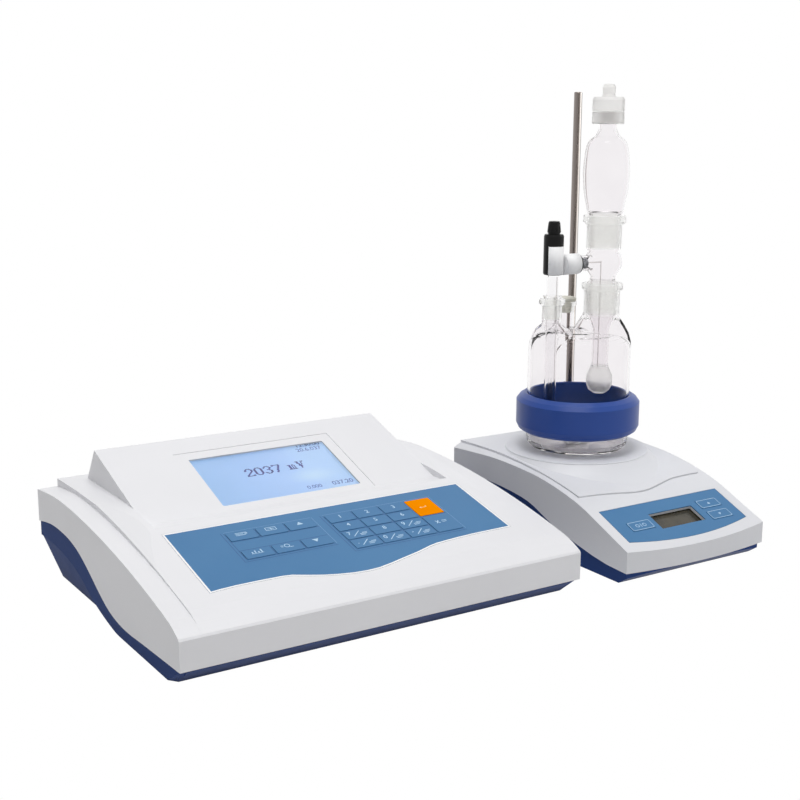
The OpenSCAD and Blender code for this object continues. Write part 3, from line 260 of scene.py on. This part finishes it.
# Painted highlight: the pale blue lines along the upper and right edges of the blocks of keys.
highlight_blue = ink("painted_highlight_blue", (108, 152, 196), (114, 158, 200), (0.4, 0.5))


def screen_ink(name, dark, pale):
    """Ink of the signs that the screen shows."""
    mat = Mat(name, Roughness=0.5)
    return mat.wire(Base_Color=mat.tones(300, 2, srgb(*dark), srgb(*pale)))


reading_ink = screen_ink("screen_ink", (44, 40, 122), (54, 48, 134))
small_ink = screen_ink("screen_ink_pale", (84, 104, 168), (100, 120, 182))


def plated_metal():
    mat = Mat("plated_metal", Metallic=1.0)
    return mat.wire(Base_Color=mat.tones(150, 3, srgb(186, 186, 188), srgb(206, 206, 206)),
                    Roughness=mat.span(mat.noise(400, 2), 0.25, 0.4))


def rod_steel():
    """Ground steel: fine lines along the rod, and a painted reflection: dark and bright bands of colour by
    the side that the surface faces.
    """
    mat = Mat("rod_steel", Metallic=1.0, Anisotropic=0.3)
    along_rod, painted_reflection_side = (1, 1, 0.02), (0.891, -0.454, 0)
    normal = mat.node("ShaderNodeNewGeometry").outputs["Normal"]
    facing = mat.span(mat.vector("DOT_PRODUCT", normal, painted_reflection_side), -0.08, 0.92, start=-1.0)
    painted_reflection = mat.math("MULTIPLY_ADD", mat.noise(260, 3, 0.6, along_rod), 0.16, facing)
    # Painted reflection: the colour goes dark, bright, then dark again with the side that the surface
    # faces.
    colour = mat.ramp(painted_reflection, (0.0, srgb(150, 142, 138)), (0.25, srgb(122, 114, 110)),
                      (0.5, srgb(112, 104, 98)), (0.62, srgb(158, 148, 142)), (0.70, srgb(240, 234, 229)),
                      (0.84, srgb(236, 229, 224)), (0.92, srgb(110, 102, 97)), (1.0, srgb(96, 90, 86)))
    mat.bump(mat.noise(1500, 2, 0.5, along_rod), 0.1)
    return mat.wire(Base_Color=colour, Roughness=mat.span(mat.noise(700, 3, 0.6, along_rod), 0.2, 0.32))


def cathode_lead():
    """From left to right: a black cap, a plug painted grey with pale patches as a painted reflection of the
    glass arm round it, and a bright wire.
    """
    mat = Mat("lead_black", IOR=1.45, Specular_IOR_Level=0.2)

    def right_of(x, blend):
        return mat.axis("X", place(x, 0, 0).x, place(x + blend, 0, 0).x)

    wire = right_of(WIRE_X, blend=0.2)
    cap_black = mat.tones(9, 4, srgb(10, 10, 11), srgb(17, 17, 18))
    # Painted reflection: the plug inside the glass arm is painted grey with pale patches.
    plug_painted_reflection = mat.tones(260, 3, srgb(66, 68, 72), srgb(150, 152, 155), 0.35, 0.6)
    body = mat.mix(right_of(PLUG_X, blend=0.4), cap_black, plug_painted_reflection)
    return mat.wire(Base_Color=mat.mix(wire, body, srgb(214, 211, 209)), Metallic=wire,
                    Roughness=mat.span(mat.noise(60, 2), 0.26, 0.38))


def glass(name, tint, ior=1.12, ground=()):
    """Clear glass, rough and milky in its ground zones."""
    blend, ground_white = 0.6, (0.99, 0.988, 0.98, 1)
    mat = Mat(name, IOR=ior, Transmission_Weight=1.0)
    clear = mat.tones(40, 2, *tint)
    rough = mat.span(mat.noise(2500, 2), 0.0, 0.03)
    if not ground:
        return mat.wire(Base_Color=clear, Roughness=rough)
    transmission, zones = 1.0, 0.0
    for low, high, roughness, milk in ground:
        above_low, above_high = [mat.axis("Z", (z - blend) / 1000, (z + blend) / 1000, "SMOOTHSTEP")
                                 for z in (low, high)]
        zone = mat.math("SUBTRACT", above_low, above_high)
        rough = mat.math("MULTIPLY_ADD", zone, roughness, rough)
        transmission = mat.math("MULTIPLY_ADD", zone, -milk, transmission)
        zones = mat.math("ADD", zone, zones)
    return mat.wire(Base_Color=mat.mix(zones, clear, ground_white), Roughness=rough,
                    Transmission_Weight=transmission)


# Tints of clear glass, each as two near linear colours
WARM_TINT = ((0.93, 0.915, 0.925, 1), (0.95, 0.937, 0.945, 1))
NEUTRAL_TINT = ((0.955, 0.95, 0.955, 1), (0.97, 0.967, 0.97, 1))
WINDOW_TINT = ((0.985, 0.99, 0.99, 1), (0.995, 0.998, 0.998, 1))
# Ground zones: lowest and highest Z in millimetres, roughness, diffuse share
VESSEL_NECK = (207, 240, 0.26, 0.13)
CHAMBER_BULB = (120, 157, 0.35, 0.2)
CHAMBER_SEAT = (209, 236.5, 0.22, 0.04)
CHAMBER_MOUTH = (271, 310, 0.26, 0.13)
TUBE_SEAT = (270, 302, 0.2, 0.04)
STEM_SEAT = (206, 227, 0.2, 0.04)


def lit_screen():
    """The large screen glows a little: a soft sweep of blue, paler round one spot."""
    left, right = 113, 247
    spot, spot_radii = HOOD.at(34, -10, SCREEN_N), (0.03, 0.015, 0.015)
    mat = Mat("screen_blue", Roughness=0.3, IOR=1.45, Emission_Strength=0.69)
    across = mat.axis("X", place(left, 0, 0).x, place(right, 0, 0).x)
    sweep = mat.math("MULTIPLY_ADD", mat.noise(16, 2, 0.4), 0.4, across)
    tone = mat.ramp(sweep, (0.1, srgb(160, 196, 234)), (0.55, srgb(170, 201, 242)),
                    (0.85, srgb(182, 210, 250)), (1.0, srgb(190, 218, 250)))
    offset = mat.vector("SUBTRACT", mat.coord, spot)
    distance = mat.vector("LENGTH", mat.vector("MULTIPLY", offset, [1 / r for r in spot_radii]))
    glow = mat.span(distance, 0.95, 0.0, kind="SMOOTHSTEP")
    return mat.wire(Emission_Color=mat.mix(glow, tone, srgb(208, 232, 250)),
                    Base_Color=mat.tones(30, 2, srgb(56, 84, 120), srgb(66, 92, 128)))


def grey_screen():
    mat = Mat("screen_grey", IOR=1.5)
    return mat.wire(Base_Color=mat.tones(60, 3, srgb(44, 41, 30), srgb(66, 60, 44)),
                    Roughness=mat.span(mat.noise(300, 2), 0.2, 0.3))


def paint(mat, *names):
    """Gives CAD nodes one material."""
    for name in names:
        nodes[name].data.materials.clear()
        nodes[name].data.materials.append(mat.material)


paint(cathode_lead(), "cathode_lead")
paint(white, "controller_cover")
paint(stirrer_shaded_white, "stirrer_cover")
paint(navy, "controller_base", "stirrer_base")
paint(ring_blue, "cell_ring")
paint(blue, "keypad_overlay", "stirrer_overlay", *[n for n in nodes if "key_" in n and n != "key_enter"])
paint(orange, "key_enter")
paint(black, "power_inlet", "power_rocker", "stirrer_inlet", "ring_clamp_knob")
paint(black, "electrode_head", "electrode_cap")
paint(grey, "rear_panel")
paint(plated_metal(), "electrode_sockets", "serial_connector", "housing_screws", "power_supply",
      "stirrer_motor")
paint(rod_steel(), "support_rod")
paint(rubber, "rubber_feet")
paint(green, "keypad_board", "main_board", "stirrer_board")
paint(magnet, "drive_magnet")
paint(milky, "drying_tube_cap", "drying_tube_stopper")
paint(bar_white, "stir_bar")
paint(septum, "injection_septum")
paint(glass("vessel_glass", WARM_TINT, ground=[VESSEL_NECK]), "cell_vessel")
paint(glass("chamber_glass", WARM_TINT, ground=[CHAMBER_BULB, CHAMBER_SEAT, CHAMBER_MOUTH]),
      "cathode_chamber")
paint(glass("tube_glass", WARM_TINT, ground=[TUBE_SEAT]), "drying_tube")
paint(glass("electrode_glass", NEUTRAL_TINT, ground=[STEM_SEAT]), "measuring_electrode")
paint(glass("window_clear", WINDOW_TINT, ior=1.2), "display_window")
paint(lit_screen(), "display_module")
paint(grey_screen(), "stirrer_display")

# ---------------------------------------------------------------- smoothing of curved faces
HOUSINGS = ("controller_cover", "controller_base", "stirrer_cover", "stirrer_base")
# Edges that turn by fewer degrees than this are smooth
HOUSING_LIMIT = 20
LIMIT = 32


def smooth(mesh, limit):
    """Smooth shading, with open edges and those that turn by limit or more kept sharp."""
    solid = bmesh.new()
    solid.from_mesh(mesh)
    sharp = [len(edge.link_faces) != 2 or edge.calc_face_angle(0) >= limit for edge in solid.edges]
    solid.free()
    mesh.shade_smooth()
    attribute = mesh.attributes.get("sharp_edge") or mesh.attributes.new("sharp_edge", "BOOLEAN", "EDGE")
    attribute.data.foreach_set("value", sharp)


for node_name, node_object in nodes.items():
    smooth(node_object.data, math.radians(HOUSING_LIMIT if node_name in HOUSINGS else LIMIT))


# ---------------------------------------------------------------- small flat prints and pieces
def piece(name, verts, faces, mat, body, slot):
    """A new mesh that rides on a body, in the given material; slot is not used."""
    mesh = bpy.data.meshes.new(name)
    mesh.from_pydata([tuple(v) for v in verts], [], faces)
    mesh.update()
    mesh.materials.append(mat.material)
    thing = bpy.data.objects.new(name, mesh)
    bpy.context.scene.collection.objects.link(thing)
    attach(thing, body)
    return thing


def strip(outer, inner):
    """Faces between two closed outlines with the same number of points."""
    count = len(outer)
    following = [(i + 1) % count for i in range(count)]
    return outer + inner, [(i, j, count + j, count + i) for i, j in enumerate(following)]


def rounded_frame(width, height, radius, line):
    """Rounded rectangle drawn with a line of that width."""
    steps, smallest = 5, 0.05

    def outline(w, h, r):
        x, y = w / 2 - r, h / 2 - r
        corners = ((x, y), (-x, y), (-x, -y), (x, -y))
        turns = [(corner, math.radians(90 * i + 90 * k / steps))
                 for i, corner in enumerate(corners) for k in range(steps + 1)]
        return [(cx + r * math.cos(a), cy + r * math.sin(a)) for (cx, cy), a in turns]

    return strip(outline(width, height, radius),
                 outline(width - 2 * line, height - 2 * line, max(radius - line, smallest)))


def bars(rects):
    """Filled rectangles from (left, low, right, high)."""
    verts = [p for x0, y0, x1, y1 in rects for p in ((x0, y0), (x1, y0), (x1, y1), (x0, y1))]
    return verts, [tuple(range(i, i + 4)) for i in range(0, len(verts), 4)]


def polygon(*points):
    return list(points), [tuple(range(len(points)))]


def arrow(half, foot, tip):
    return polygon((-half, foot), (half, foot), (0, tip))


def text2d(text, size, x, y, bold):
    """A short text as flat faces, centred on x, y."""
    curve = bpy.data.curves.new("text", "FONT")
    curve.body, curve.size, curve.offset = text, size, bold
    curve.align_x = curve.align_y = "CENTER"
    writing = bpy.data.objects.new("text", curve)
    bpy.context.scene.collection.objects.link(writing)
    bpy.context.view_layer.update()
    depsgraph = bpy.context.evaluated_depsgraph_get()
    mesh = bpy.data.meshes.new_from_object(writing.evaluated_get(depsgraph))
    verts = [(p.co.x + x, p.co.y + y) for p in mesh.vertices]
    faces = [tuple(p.vertices) for p in mesh.polygons]
    bpy.data.objects.remove(writing)
    bpy.data.curves.remove(curve)
    bpy.data.meshes.remove(mesh)
    return verts, faces


def merge(*parts):
    verts, faces = [], []
    for part_verts, part_faces in parts:
        faces += [tuple(i + len(verts) for i in face) for face in part_faces]
        verts += part_verts
    return verts, faces


def shift(part, dx, dy):
    return [(x + dx, y + dy) for x, y in part[0]], part[1]


def laid(slope, part, n):
    """Lays 2D faces on a slope with their fronts outward."""
    verts, faces = part

    def double_area(face):
        corners = [verts[i] for i in face]
        return sum(a[0] * b[1] - b[0] * a[1] for a, b in zip(corners, corners[1:] + corners[:1]))

    fronts = [face if double_area(face) > 0 else tuple(reversed(face)) for face in faces]
    return [slope.at(x, y, n) for x, y in verts], fronts


# How far out of the overlay or the screen each kind of print, painted shadow line and painted highlight
# lies
LINE_N = 0.04
EDGE_HIGHLIGHT_N = 0.03
CAP_N = KEY_PROUD + 0.015
READING_N = SCREEN_N + 0.02


# ---------------------------------------------------------------- lines round the keys: printed lines, a painted shadow line and painted highlight lines
def stroke(x0, y0, x1, y1, half=0.3):
    """An upright or level line as a rectangle."""
    return (x0, y0 - half, x1, y1 + half) if y0 == y1 else (x0 - half, y0, x1 + half, y1)


def key_grid(left, columns, rows, across, down):
    """Thin dark printed lines between the keys and round the block, with a painted shadow line outside the
    left and lower edges.

    across has (row, from column, to column), and down has (column, from row, to row).
    """
    shadow_u, shadow_v, over_u, over_v = 2.5, 2.3, 1, 0.6
    right, low = left + columns * KEY_CELL_W, ROW_V - rows * KEY_CELL_H
    lines = []
    for row, start, end in across:
        v = ROW_V - row * KEY_CELL_H
        lines.append(stroke(left + start * KEY_CELL_W, v, left + end * KEY_CELL_W, v))
    for column, start, end in down:
        u = left + column * KEY_CELL_W
        lines.append(stroke(u, ROW_V - end * KEY_CELL_H, u, ROW_V - start * KEY_CELL_H))
    # Painted shadow: the second line outside the left and lower edges stands for the shadow of the raised
    # block of keys.
    lines += [stroke(left, low, left, ROW_V), stroke(left, low, right, low),
              stroke(left - shadow_u, low - shadow_v, left - shadow_u, ROW_V + over_v),
              stroke(left - shadow_u, low - shadow_v, right + over_u, low - shadow_v)]
    return bars(lines)


def highlight_edges(left, columns, rows):
    """The two painted highlight lines along the upper and right edges of a raised block of keys."""
    gap, half = 1.1, 0.2
    right, low = left + columns * KEY_CELL_W, ROW_V - rows * KEY_CELL_H
    return [stroke(left, ROW_V + gap, right, ROW_V + gap, half),
            stroke(right + gap, low, right + gap, ROW_V + gap + half, half)]


select_grid = key_grid(SELECT_U, 3, 3, [(1, 0, 3), (2, 0, 3)], [(1, 0, 1), (2, 0, 1), (1, 2, 3), (2, 2, 3)])
number_grid = key_grid(NUMBER_U, 4, 4, [(1, 0, 3), (2, 0, 4), (3, 0, 3)], [(1, 0, 4), (2, 0, 4), (3, 2, 4)])
highlight_lines = bars(highlight_edges(SELECT_U, 3, 3) + highlight_edges(NUMBER_U, 4, 4))
piece("lines_select", *laid(DECK, select_grid, LINE_N), navy_ink_and_shadow, "units", "overlay_blue")
piece("lines_number", *laid(DECK, number_grid, LINE_N), navy_ink_and_shadow, "units", "overlay_blue")
piece("lines_highlight", *laid(DECK, highlight_lines, LINE_N), highlight_blue, "units", "overlay_blue")


# ---------------------------------------------------------------- prints on the keys
def key_print(name, art, left, column, row, mat=pale_ink, slot="overlay_blue"):
    """A print on a key, at a place counted in key cells from the first row."""
    art = shift(art, left + column * KEY_CELL_W, ROW_V - row * KEY_CELL_H)
    piece(f"print_{name}", *laid(DECK, art, CAP_N), mat, f"key_{name}_cap", slot)


# Keys with a second sign beside the first
SHARED_KEYS = "79.0-"
SIGN_SIZE = 6.6
SIGN_BOLD = 0.08
slash = polygon((-4.9, -2.8), (-4.2, -3.1), (3.4, 3.9), (2.7, 4.2))
ticks = bars([(1.6, -1.2, 8.4, -0.5), (1.6, -2.9, 6.4, -2.2), (4.4, 0.3, 9.2, 1.0)])
for i, glyph in enumerate("123456789.0-"):
    if glyph in SHARED_KEYS:
        art = merge(text2d(glyph, SIGN_SIZE, -7, 1.9, SIGN_BOLD), slash, ticks)
    else:
        art = text2d(glyph, SIGN_SIZE, 0.4, 1.6, SIGN_BOLD)
    key_print(f"number_{i + 1}", art, NUMBER_U, i % 3 + 0.5, i // 3 + 0.5)

select_marks = [
    bars([(-5, 1.4, 5, 2.1), (-5, -0.3, 1.6, 0.4), (-5, -2, 3.6, -1.3), (3, -0.6, 5.2, 0.8)]),
    merge(rounded_frame(9.6, 5, 0.8, 0.6), bars([(-3, -0.4, 3, 0.3), (-0.35, -1.6, 0.35, 1.6)])),
    arrow(2.9, -1.9, 2.5),
    bars([(-5, -2.2, -3.9, 0), (-2.3, -2.2, -1.2, 1.6), (0.4, -2.2, 1.5, -0.4), (3.1, -2.2, 4.2, 2.4),
          (-5.4, -3, 5, -2.5)]),
    merge(rounded_frame(5, 5, 2.4, 0.7),
          bars([(1.5, -2.8, 5, -2.1), (-5.4, 0.4, -3.4, 1.1), (-5.4, -1.2, -3.4, -0.5)])),
    arrow(2.9, 1.9, -2.5)]
for i, art in enumerate(select_marks):
    key_print(f"select_{i + 1}", shift(art, 0, 2.2), SELECT_U, i % 3 + 0.5, i // 3 * 2 + 0.5)

enter_mark = merge(bars([(-3.4, -0.5, 2.4, 0.1), (1.9, -0.5, 2.4, 2.2)]),
                   polygon((-4.8, -0.2), (-2.8, -1.5), (-2.8, 1.1)))
key_print("enter", enter_mark, NUMBER_U, 3.5, 1, cream_ink, "key_orange")
cancel_mark = merge(polygon((-5.4, -2), (-4.6, -2.4), (-1.4, 2), (-2.2, 2.4)),
                    polygon((-4.6, 2.4), (-5.4, 2), (-2.2, -2.4), (-1.4, -2)),
                    bars([(1, 0.8, 6, 1.5), (1, -1.2, 5, -0.5)]))
key_print("cancel", shift(cancel_mark, 0, 2), NUMBER_U, 3.5, 3)

# The frame printed on each stirrer key stands in from the key's edges by half of this
FRAME_MARGIN = 1.2
dial = rounded_frame(4, 4, 1.95, 0.6)
power_mark = merge(shift(dial, -4, 0), bars([(-0.4, -2.2, 0.3, 2.2)]), shift(dial, 4, 0))
# Name, middle, size and mark of each stirrer key
stirrer_keys = [("power", 27.3, -26.6, 26, 12, power_mark),
                ("up", 118.3, -16.9, 25, 11.5, arrow(1.7, -1.2, 1.5)),
                ("down", 118.3, -33, 25, 11.5, arrow(1.7, 1.2, -1.5))]
for name, u, v, width, height, mark in stirrer_keys:
    key_frame = rounded_frame(width - FRAME_MARGIN, height - FRAME_MARGIN, 1.8, 0.5)
    art = shift(merge(key_frame, mark), u, v)
    piece(f"print_stirrer_{name}", *laid(STIRRER_DECK, art, CAP_N), pale_ink,
          f"stirrer_key_{name}_cap", "overlay_blue")

# ---------------------------------------------------------------- the screen's reading
# Each sign in rows of 8 dots, as such screens draw it
DOTS = {
    "2": "..####.. .##..##. ##....## ##....## ......## .....##. "
         "....##.. ...##... ..##.... .##..... ##....## ########",
    "0": "..####.. .##..##. ##....## ##....## ##....## ##....## "
         "##....## ##....## ##....## ##....## .##..##. ..####..",
    "3": "..####.. .##..##. ##....## ......## .....##. ...###.. "
         ".....##. ......## ......## ##....## .##..##. ..####..",
    "7": "######## ##....## ......## .....##. .....##. ....##.. "
         "....##.. ...##... ...##... ...##... ..##.... ..##....",
    "m": "........ ........ ........ ........ ###.##.. .##.#.#. "
         ".##.#.#. .##.#.#. .##.#.#. .##.#.#. .##.#.#. ########",
    "V": "###..### .##...#. .##..#.. .##..#.. ..##.#.. ..##.#.. "
         "..###... ..###... ...##... ...##... ...#.... ...#....",
}
DOTS_WIDE = 8


def dots(signs, dot_w, dot_h, x, y):
    """The signs' dots as rectangles, one to a run, from the upper left corner x, y."""
    rects = []
    for i, sign in enumerate(signs):
        for row, line in enumerate(DOTS[sign].split()):
            column = 0
            while column < DOTS_WIDE:
                run = len(line[column:]) - len(line[column:].lstrip("#"))
                if run:
                    left = x + (i * (DOTS_WIDE + 1) + column) * dot_w
                    rects.append((left, y - (row + 1) * dot_h, left + run * dot_w, y - row * dot_h))
                column += run + 1
    return bars(rects)


reading = merge(dots("2037", 1.0, 1.0, -24.6, 14.3), dots("mV", 1.04, 0.94, 17.0, 14.5))
piece("screen_reading", *laid(HOOD, reading, READING_N), reading_ink, "units", "screen_blue")
small_texts = merge(text2d("12:30:00", 7.4, 52, 38.2, 0.12), text2d("20.6.037", 7.4, 50, 31, 0.12),
                    text2d("0.000", 6.6, 26, -27.2, 0.1), text2d("037.20", 7.8, 54.5, -26.8, 0.16))
piece("screen_small", *laid(HOOD, small_texts, READING_N), small_ink, "units", "screen_blue")

# ---------------------------------------------------------------- painted highlight round the keypad overlay's edge
# The overlay's front edge, as in part.scad
WAVE = [(0, 90.4), (22, 88.5), (61, 88.7), (73, 91.7), (91, 98.1), (115, 103.2), (138, 103.4), (164, 97.1),
        (182, 92.5), (197, 87.6), (211, 85.5), (239, 83.5), (279.5, 83)]


def spline(points, steps):
    """Catmull-Rom curve through the points, as in part.scad."""
    def between(a, b, c, d, t):
        return 0.5 * (2 * b + (c - a) * t + (2 * a - 5 * b + 4 * c - d) * t ** 2
                      + (3 * b - a - 3 * c + d) * t ** 3)

    last, curve = len(points) - 1, []
    for i in range(last):
        ends = [points[j] for j in (max(i - 1, 0), i, i + 1, min(i + 2, last))]
        curve += [tuple(between(*values, k / steps) for values in zip(*ends)) for k in range(steps)]
    return curve + [points[-1]]


def inset(loop, distance):
    """A counterclockwise outline moved inward, or outward where distance is negative."""
    least_cosine = 0.35
    moved = []
    for i, corner in enumerate(loop):
        before, here, after = Vector(loop[i - 1]), Vector(corner), Vector(loop[(i + 1) % len(loop)])
        normals = [Vector((-side.y, side.x)).normalized() for side in (here - before, after - here)]
        middle = (normals[0] + normals[1]).normalized()
        moved.append(tuple(here + middle * (distance / max(middle.dot(normals[0]), least_cosine))))
    return moved


front_edge = [(min(max(x, 0), OVERLAY_W), -y) for x, y in spline(WAVE, 2)]
outside = inset([(0, 0)] + front_edge + [(OVERLAY_W, 0)], -0.25)
# Painted highlight: a pale strip in the label white round the overlay's edge, where the recess's edge
# catches the light.
edge_highlight = strip(outside, inset(outside, 1.6))
piece("overlay_edge_highlight", *laid(DECK, edge_highlight, EDGE_HIGHLIGHT_N), label, "units", "overlay_blue")


# ---------------------------------------------------------------- paper labels of the cell
def on_electrode(along, a, b):
    return place(ELECTRODE_X + a, VESSEL_Y + b, along)


def on_lead(along, a, b):
    return place(along, VESSEL_Y + a, LEAD_Z + b)


def paper(name, spot, low, high, radius, start, end, body, slot, dip=0.0):
    """A label round an axis, from angle start to end; dip hollows its far edge towards 180 degrees."""
    steps, thick = 48, 0.12
    verts, faces = [], []
    for i in range(steps + 1):
        angle = math.radians(start + (end - start) * i / steps)
        cos, sin = math.cos(angle), math.sin(angle)
        far = high - dip * max(0.0, -cos) ** 1.5
        verts += [spot(along, r * cos, r * sin) for r in (radius, radius + thick) for along in (low, far)]
    for a in range(0, 4 * steps, 4):
        b = a + 4
        faces += [(a + 2, b + 2, b + 3, a + 3), (a, a + 1, b + 1, b), (a + 1, a + 3, b + 3, b + 1),
                  (a, b, b + 2, a + 2)]
    piece(name, verts, faces, label, body, slot).data.shade_smooth()


def paper_end(name, along, radius, body, slot):
    """The flat round end of the lead's label."""
    sides = 40
    angles = [2 * math.pi * i / sides for i in range(sides)]
    circle = [on_lead(along, radius * math.cos(a), radius * math.sin(a)) for a in angles]
    faces = [(0, 1 + (i + 1) % sides, 1 + i) for i in range(sides)]
    piece(name, [on_lead(along, 0, 0)] + circle, faces, label, body, slot)


# Gap under the paper, and how far its end lies out of the lead's end
PAPER_GAP = 0.02
END_GAP = 0.1
paper("head_label", on_electrode, 250, 276, HEAD_R + PAPER_GAP, 202, 352, "electrode", "black_plastic")
paper("lead_label", on_lead, LEAD_END + END_GAP, PLUG_X - 0.2, LEAD_R + PAPER_GAP, 0, 360,
      "cathode", "lead_black", dip=1.2)
paper_end("lead_label_end", LEAD_END - END_GAP, LEAD_R + END_GAP, "cathode", "lead_black")


# ---------------------------------------------------------------- stage, light and camera
def white_to_rays(tree, plain, white_shader, output):
    """Camera, transmission and glossy rays meet the white shader, and all others the plain one."""
    path = tree.nodes.new("ShaderNodeLightPath").outputs
    seen = path["Is Camera Ray"]
    for ray in ("Is Transmission Ray", "Is Glossy Ray"):
        larger = tree.nodes.new("ShaderNodeMath")
        larger.operation = "MAXIMUM"
        tree.links.new(seen, larger.inputs[0])
        tree.links.new(path[ray], larger.inputs[1])
        seen = larger.outputs[0]
    mix = tree.nodes.new("ShaderNodeMixShader")
    tree.links.new(seen, mix.inputs["Fac"])
    tree.links.new(plain.outputs[0], mix.inputs[1])
    tree.links.new(white_shader.outputs[0], mix.inputs[2])
    tree.links.new(mix.outputs[0], output.inputs["Surface"])


def add_floor(size, height, grey_level):
    """A wide floor that shows white and keeps the object's shadow."""
    material = bpy.data.materials.new("floor")
    material.use_nodes = True
    tree = material.node_tree
    tree.nodes.clear()
    plain = tree.nodes.new("ShaderNodeBsdfDiffuse")
    plain.inputs["Color"].default_value = (grey_level, grey_level, grey_level, 1)
    backdrop = tree.nodes.new("ShaderNodeEmission")
    backdrop.inputs["Color"].default_value = (1, 1, 1, 1)
    backdrop.inputs["Strength"].default_value = 1.0
    white_to_rays(tree, plain, backdrop, tree.nodes.new("ShaderNodeOutputMaterial"))
    bpy.ops.mesh.primitive_plane_add(size=size, location=(0, 0, height))
    floor = bpy.context.object
    floor.name = "floor"
    floor.data.materials.append(material)


def add_world(level, slant):
    """White surroundings of that level, which grows along slant."""
    world = bpy.data.worlds.new("studio")
    bpy.context.scene.world = world
    world.use_nodes = True
    tree = world.node_tree
    plain, backdrop = tree.nodes["Background"], tree.nodes.new("ShaderNodeBackground")
    for shader in (plain, backdrop):
        shader.inputs["Color"].default_value = (1, 1, 1, 1)
    backdrop.inputs["Strength"].default_value = 1.0
    way = tree.nodes.new("ShaderNodeVectorMath")
    way.operation = "DOT_PRODUCT"
    way.inputs[1].default_value = slant
    tree.links.new(tree.nodes.new("ShaderNodeTexCoord").outputs["Generated"], way.inputs[0])
    strength = tree.nodes.new("ShaderNodeMath")
    strength.operation = "ADD"
    strength.inputs[1].default_value = level
    tree.links.new(way.outputs["Value"], strength.inputs[0])
    tree.links.new(strength.outputs[0], plain.inputs["Strength"])
    white_to_rays(tree, plain, backdrop, tree.nodes["World Output"])


def add_lamp(name, at, to, size, power):
    """A round area lamp at one point, facing another."""
    lamp = bpy.data.lights.new(name, "AREA")
    lamp.shape, lamp.size, lamp.energy = "DISK", size, power
    thing = bpy.data.objects.new(name, lamp)
    bpy.context.scene.collection.objects.link(thing)
    thing.location = at
    thing.rotation_euler = (Vector(to) - Vector(at)).to_track_quat("-Z", "Y").to_euler()


def add_camera(at, yaw, pitch, roll, focal_pixels, frame_pixels):
    """The photograph's camera: angles in degrees, focal length in pixels of its frame."""
    sensor = 36
    yaw, pitch, roll = (math.radians(a) for a in (yaw, pitch, roll))
    forward = Vector((math.sin(yaw) * math.cos(pitch), math.cos(yaw) * math.cos(pitch), -math.sin(pitch)))
    level_right = Vector((math.cos(yaw), -math.sin(yaw), 0))
    level_up = level_right.cross(forward)
    right = level_right * math.cos(roll) + level_up * math.sin(roll)
    up = level_up * math.cos(roll) - level_right * math.sin(roll)
    camera = bpy.data.objects.new("camera", bpy.data.cameras.new("camera"))
    bpy.context.scene.collection.objects.link(camera)
    matrix = Matrix((right, up, -forward)).transposed().to_4x4()
    matrix.translation = at
    camera.matrix_world = matrix
    camera.data.sensor_width = sensor
    camera.data.lens = focal_pixels / frame_pixels * sensor
    camera.data.clip_end = 50
    bpy.context.scene.camera = camera


add_floor(size=30, height=-0.0004, grey_level=0.72)
add_world(level=0.4, slant=(0.16, -0.02, 0))
add_lamp("key", at=(-0.2, -0.35, 2.4), to=(-0.1, 0, 0), size=1.6, power=35)
add_lamp("right", at=(2.0, -1.6, 1.0), to=(0, 0, 0.1), size=1.4, power=5)
bpy.context.scene.view_settings.view_transform = "Standard"
add_camera(place(-332.49, -801.64, 394.89), yaw=32.62, pitch=12.18, roll=0.18,
           focal_pixels=1319.39, frame_pixels=800)
